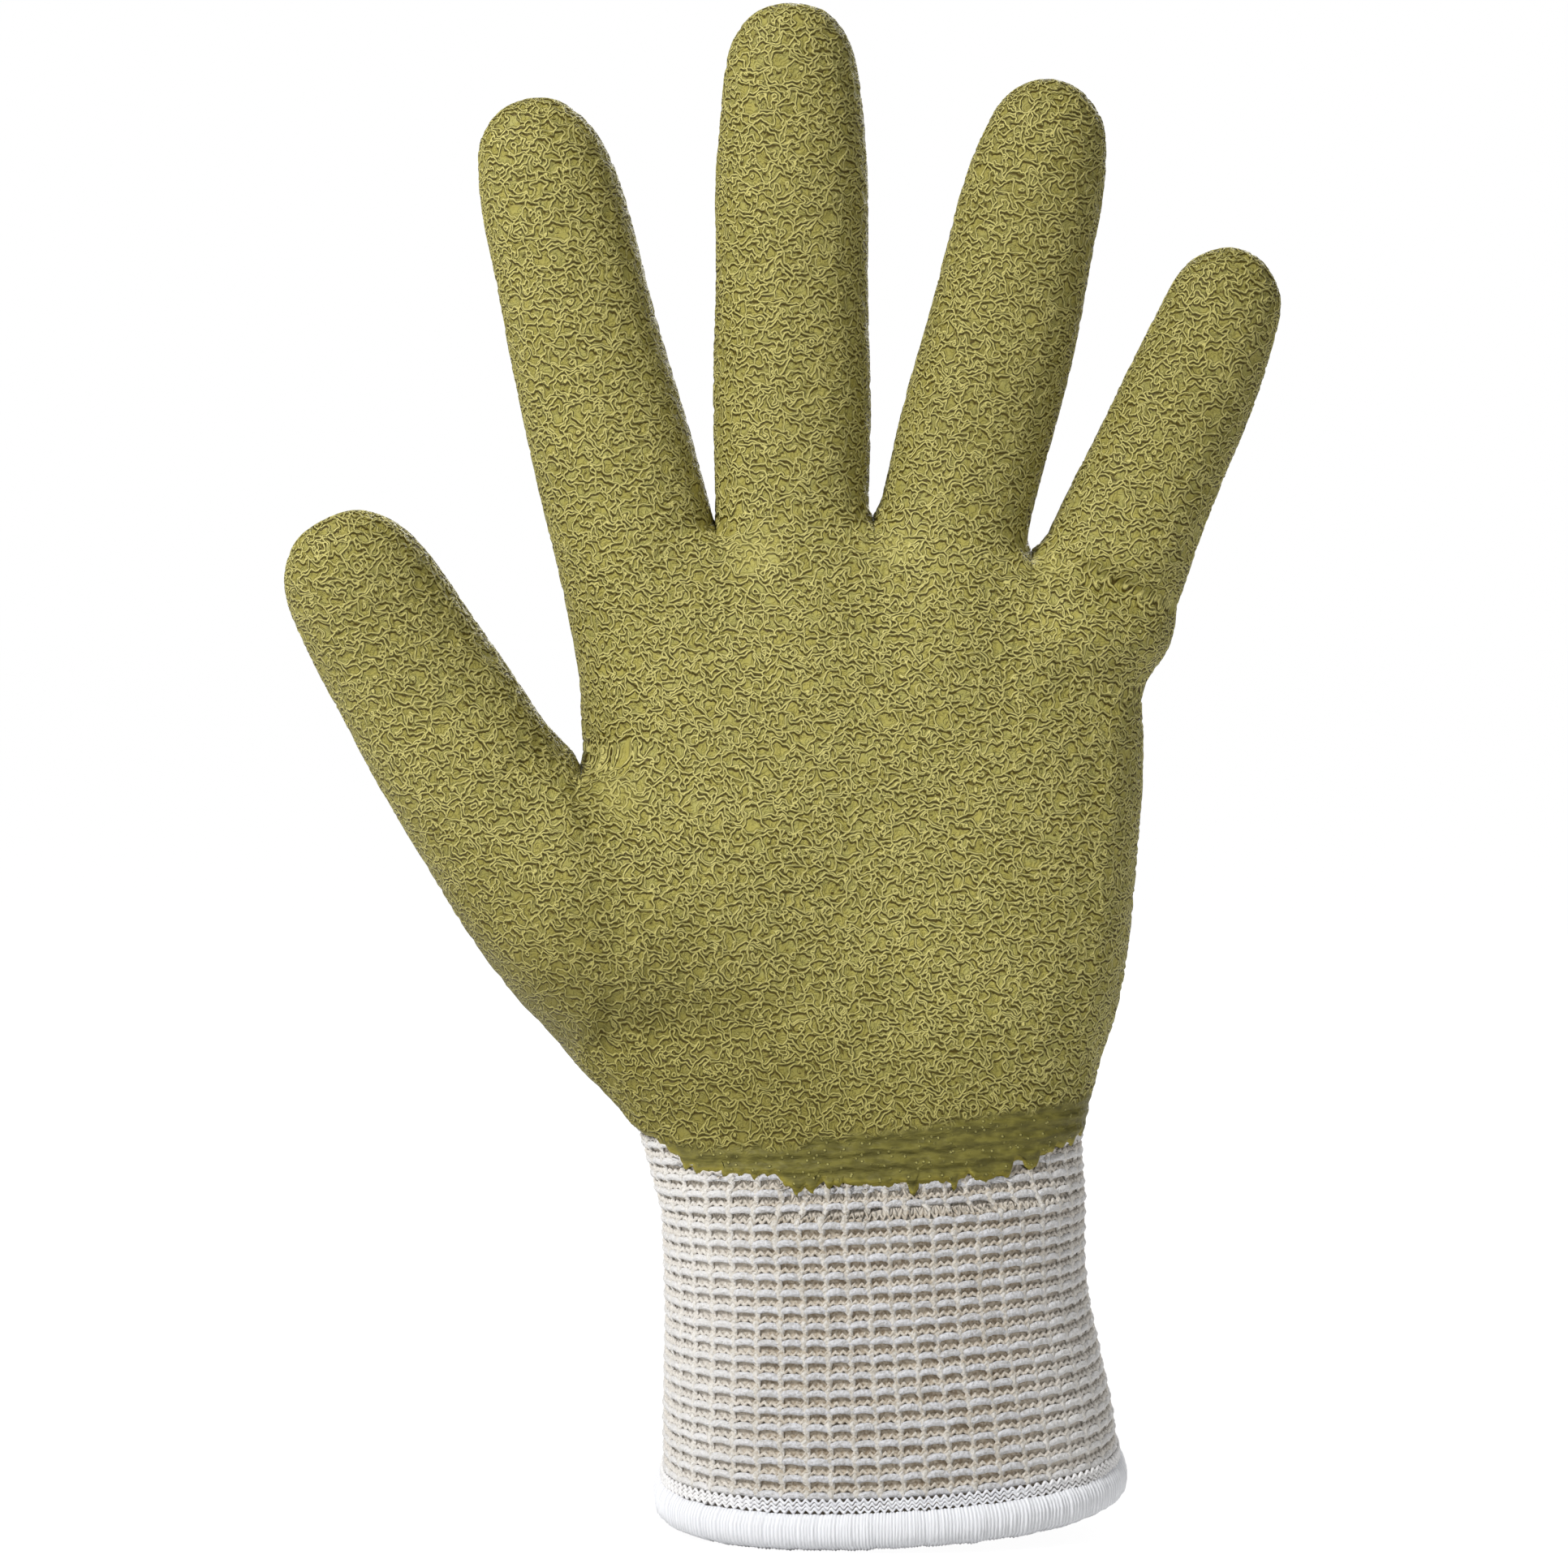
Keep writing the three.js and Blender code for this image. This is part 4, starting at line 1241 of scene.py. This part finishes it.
# %% Knit the cuff
ROWS = {"Rows": 24, "Row pitch": ROW_PITCH, "Cells": 50}
bars = yarn_piece("cuff_bars", rows_tree, {
    **ROWS, "First row": 7.9, "Steps": 8, "Yarn": bar_yarn, "Seed": 3.0,
    "Half height": 0.64, "Half depth": 0.48, "Base": 0.3, "Lift": 0.22,
    "Rise": 0.36, "Neck": 0.8, "Wave": 0.0, "Waves": 1.0,
})
loops = yarn_piece("cuff_loops", rows_tree, {
    **ROWS, "First row": 9.08, "Steps": 12, "Yarn": loop_yarn, "Seed": 5.0,
    "Half height": 0.4, "Half depth": 0.38, "Base": 0.44, "Lift": -0.14,
    "Rise": -0.12, "Neck": 1.0, "Wave": 0.3, "Waves": 3.0,
})
joins = yarn_piece("cuff_joins", joins_tree, {
    "Rows": 50, "First row": 7.0, "Row pitch": ROW_PITCH, "Cells": 24, "Steps": 5,
    "Yarn": join_yarn, "Seed": 9.0, "Half height": 0.72, "Half depth": 0.4,
    "Base": 0.12, "Lift": 0.26, "Rise": 0.0, "Neck": 0.55, "Wave": 0.22, "Waves": 1.0,
})
dress(cuff_ground, ground_yarn)

# %% [markdown]
# The raw edge of the cuff is bound by an overlock machine: fine threads wrap the roll side
# by side, and where they turn at its upper edge they leave a row of small zigzag loops. The
# roll is cut into fine steps round the cuff, and a wave raises one rib for each thread.

# %% Cut the hem finely round the cuff
RIB_CUTS = 15
THREADS = 340
SMALLEST_TURN = math.radians(1.0)


def cut_round(piece, cuts):
    """Cuts the edges that run round the cuff, and leaves the ones across the roll."""
    mesh = to_bmesh(piece.data)
    around = []
    for edge in mesh.edges:
        a, b = (vertex.co for vertex in edge.verts)
        turn = abs(math.atan2(a.x * b.y - a.y * b.x, a.x * b.x + a.y * b.y))
        if turn > SMALLEST_TURN:
            around.append(edge)
    bmesh.ops.subdivide_edges(mesh, edges=around, cuts=cuts, use_grid_fill=True)
    back_to(piece.data, mesh)
    return len(piece.data.polygons)


print("hem faces:", cut_round(hem_roll, RIB_CUTS))

# %% Raise the threads and lay the zigzag
tree, given, end = geometry_tree("raise threads", {"Float": ["Height"], "Int": ["Threads"]})
x, y, z = tree.split(tree.in_mm(tree.get("GeometryNodeInputPosition", 0)))
turn = tree.maths("ARCTAN2", y, x)
rim = tree.join(tree.maths("COSINE", turn), tree.maths("SINE", turn), z * 0.004)
bunch = (tree.noise(rim, 22.0) - 0.5) * 9.0
rib = tree.maths("COSINE", turn * given["Threads"] + bunch) * 0.5 + 0.5
rib = rib * (0.35 + tree.noise(rim, 60.0, 1.0))
number = {"data_type": "FLOAT", "domain": "POINT"}
kept = tree.change("StoreNamedAttribute", given["Geometry"], number, Name="rib", Value=rib)
soft = (tree.noise(rim, 14.0) - 0.5) * 4.0
height = (rib + soft) * given["Height"]
shift = tree.scaled(tree.get("GeometryNodeInputNormal", 0), height)
tree.feed(end.inputs[0], tree.change("SetPosition", kept, Offset=shift))
use_tree(hem_roll, tree, {"Height": 0.22 * MM, "Threads": THREADS})

thread, tree = new_finish("overlock thread", Specular_IOR_Level=0.3, Sheen_Weight=0.2)
place = tree.in_mm(tree.get("ShaderNodeTexCoord", "Object"))
fluff = tree.noise(tree.stretch(place, (1.0, 1.0, 0.25)), 3.0, 2.0)
# Painted shade: the grooves between the threads are darker than the rib tops.
top = tree.step(tree.stored("rib"), 0.1, 0.6)
colour = tree.blend(top, paint(207, 208, 212), paint(228, 229, 232))
finish_with(tree, colour, 0.7 + fluff * 0.15, fluff, 0.12 * MM)
dress(hem_roll, thread)
edge_thread = yarn("zigzag thread", paint(232, 233, 236), paint(208, 208, 212), 0.15)
zigzag = yarn_piece("hem_zigzag", rows_tree, {
    "Rows": 3, "First row": 6.05, "Row pitch": 0.62, "Cells": 50, "Steps": 19,
    "Yarn": edge_thread, "Seed": 1.0, "Half height": 0.3, "Half depth": 0.3,
    "Base": 1.0, "Lift": 0.0, "Rise": 0.0, "Neck": 1.0, "Wave": 0.3, "Waves": 3.0,
})

# %% [markdown]
# The set is a pale floor, as in a catalogue picture. The key light shines from the upper
# left, a wide weak one fills from the right, and one behind the glove lights its edges.

# %% Light the set
WHITE = (1.0, 1.0, 1.0, 1.0)
LIGHTS = [
    ("key", (-0.52, -0.56, 0.68), 0.26, 9.2),
    ("fill", (0.9, -1.0, 0.3), 1.0, 2.0),
    ("back", (0.25, 1.1, 0.6), 0.8, 13.0),
]
for name, place, size, power in LIGHTS:
    light = bpy.data.lights.new(name, "AREA")
    light.shape = "DISK"
    light.size = size
    light.energy = power
    lamp = into_scene(name, light)
    lamp.location = place
    lamp.rotation_euler = (AIM - Vector(place)).to_track_quat("-Z", "Y").to_euler()

world = bpy.data.worlds.new("studio")
world.use_nodes = True
tree = Tree(world.node_tree)
background = world.node_tree.nodes["Background"]
seen = tree.get("ShaderNodeLightPath", "Is Camera Ray")
tree.feed(background.inputs["Strength"], seen * 0.66 + 0.34)
background.inputs["Color"].default_value = WHITE
bpy.context.scene.world = world
bpy.context.scene.view_settings.view_transform = "Standard"

floor_finish = bpy.data.materials.new("pale floor")
floor_finish.use_nodes = True
tree = Tree(floor_finish.node_tree)
seen = tree.get("ShaderNodeLightPath", "Is Camera Ray")
paper = tree.get("ShaderNodeBsdfDiffuse", 0, None, {"Color": (0.8, 0.8, 0.8, 1.0)})
glow = tree.get("ShaderNodeEmission", 0, None, {"Color": WHITE, "Strength": 1.08})
both = tree.get("ShaderNodeMixShader", 0, None, {0: seen * 0.9, 1: paper, 2: glow})
tree.feed(floor_finish.node_tree.nodes["Material Output"].inputs["Surface"], both)
floor_mesh = bmesh.new()
bmesh.ops.create_grid(floor_mesh, x_segments=2, y_segments=2, size=8.0)
drop = (0.0, 0.0, cad_box[0][2] - 0.2 * MM)
bmesh.ops.translate(floor_mesh, verts=floor_mesh.verts, vec=drop)
floor = to_object(floor_mesh, "floor")
dress(floor, floor_finish)
print("lights:", len(LIGHTS))

# %% [markdown]
# Last, a table lists every piece with the solids it stands for and a slot of the record. Each
# piece rides on the root body, and the solids it stands for are hidden.

# %% Hand the pieces over
DRESSED = [
    (knit_palm, ["knit_palm"], "knit"),
    *[(stalls[name], [name], "knit") for name in STALLS],
    (skin, ["latex_coating"], "latex"),
    (cuff_ground, ["knit_cuff"], "cuff"),
    (bars, [], "cuff"),
    (loops, [], "cuff"),
    (joins, [], "cuff"),
    (hem_roll, ["cuff_hem"], "hem"),
    (zigzag, [], "hem"),
]
for piece, replaced, slot in DRESSED:
    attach(piece, "root")
    if replaced:
        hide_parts(*replaced)
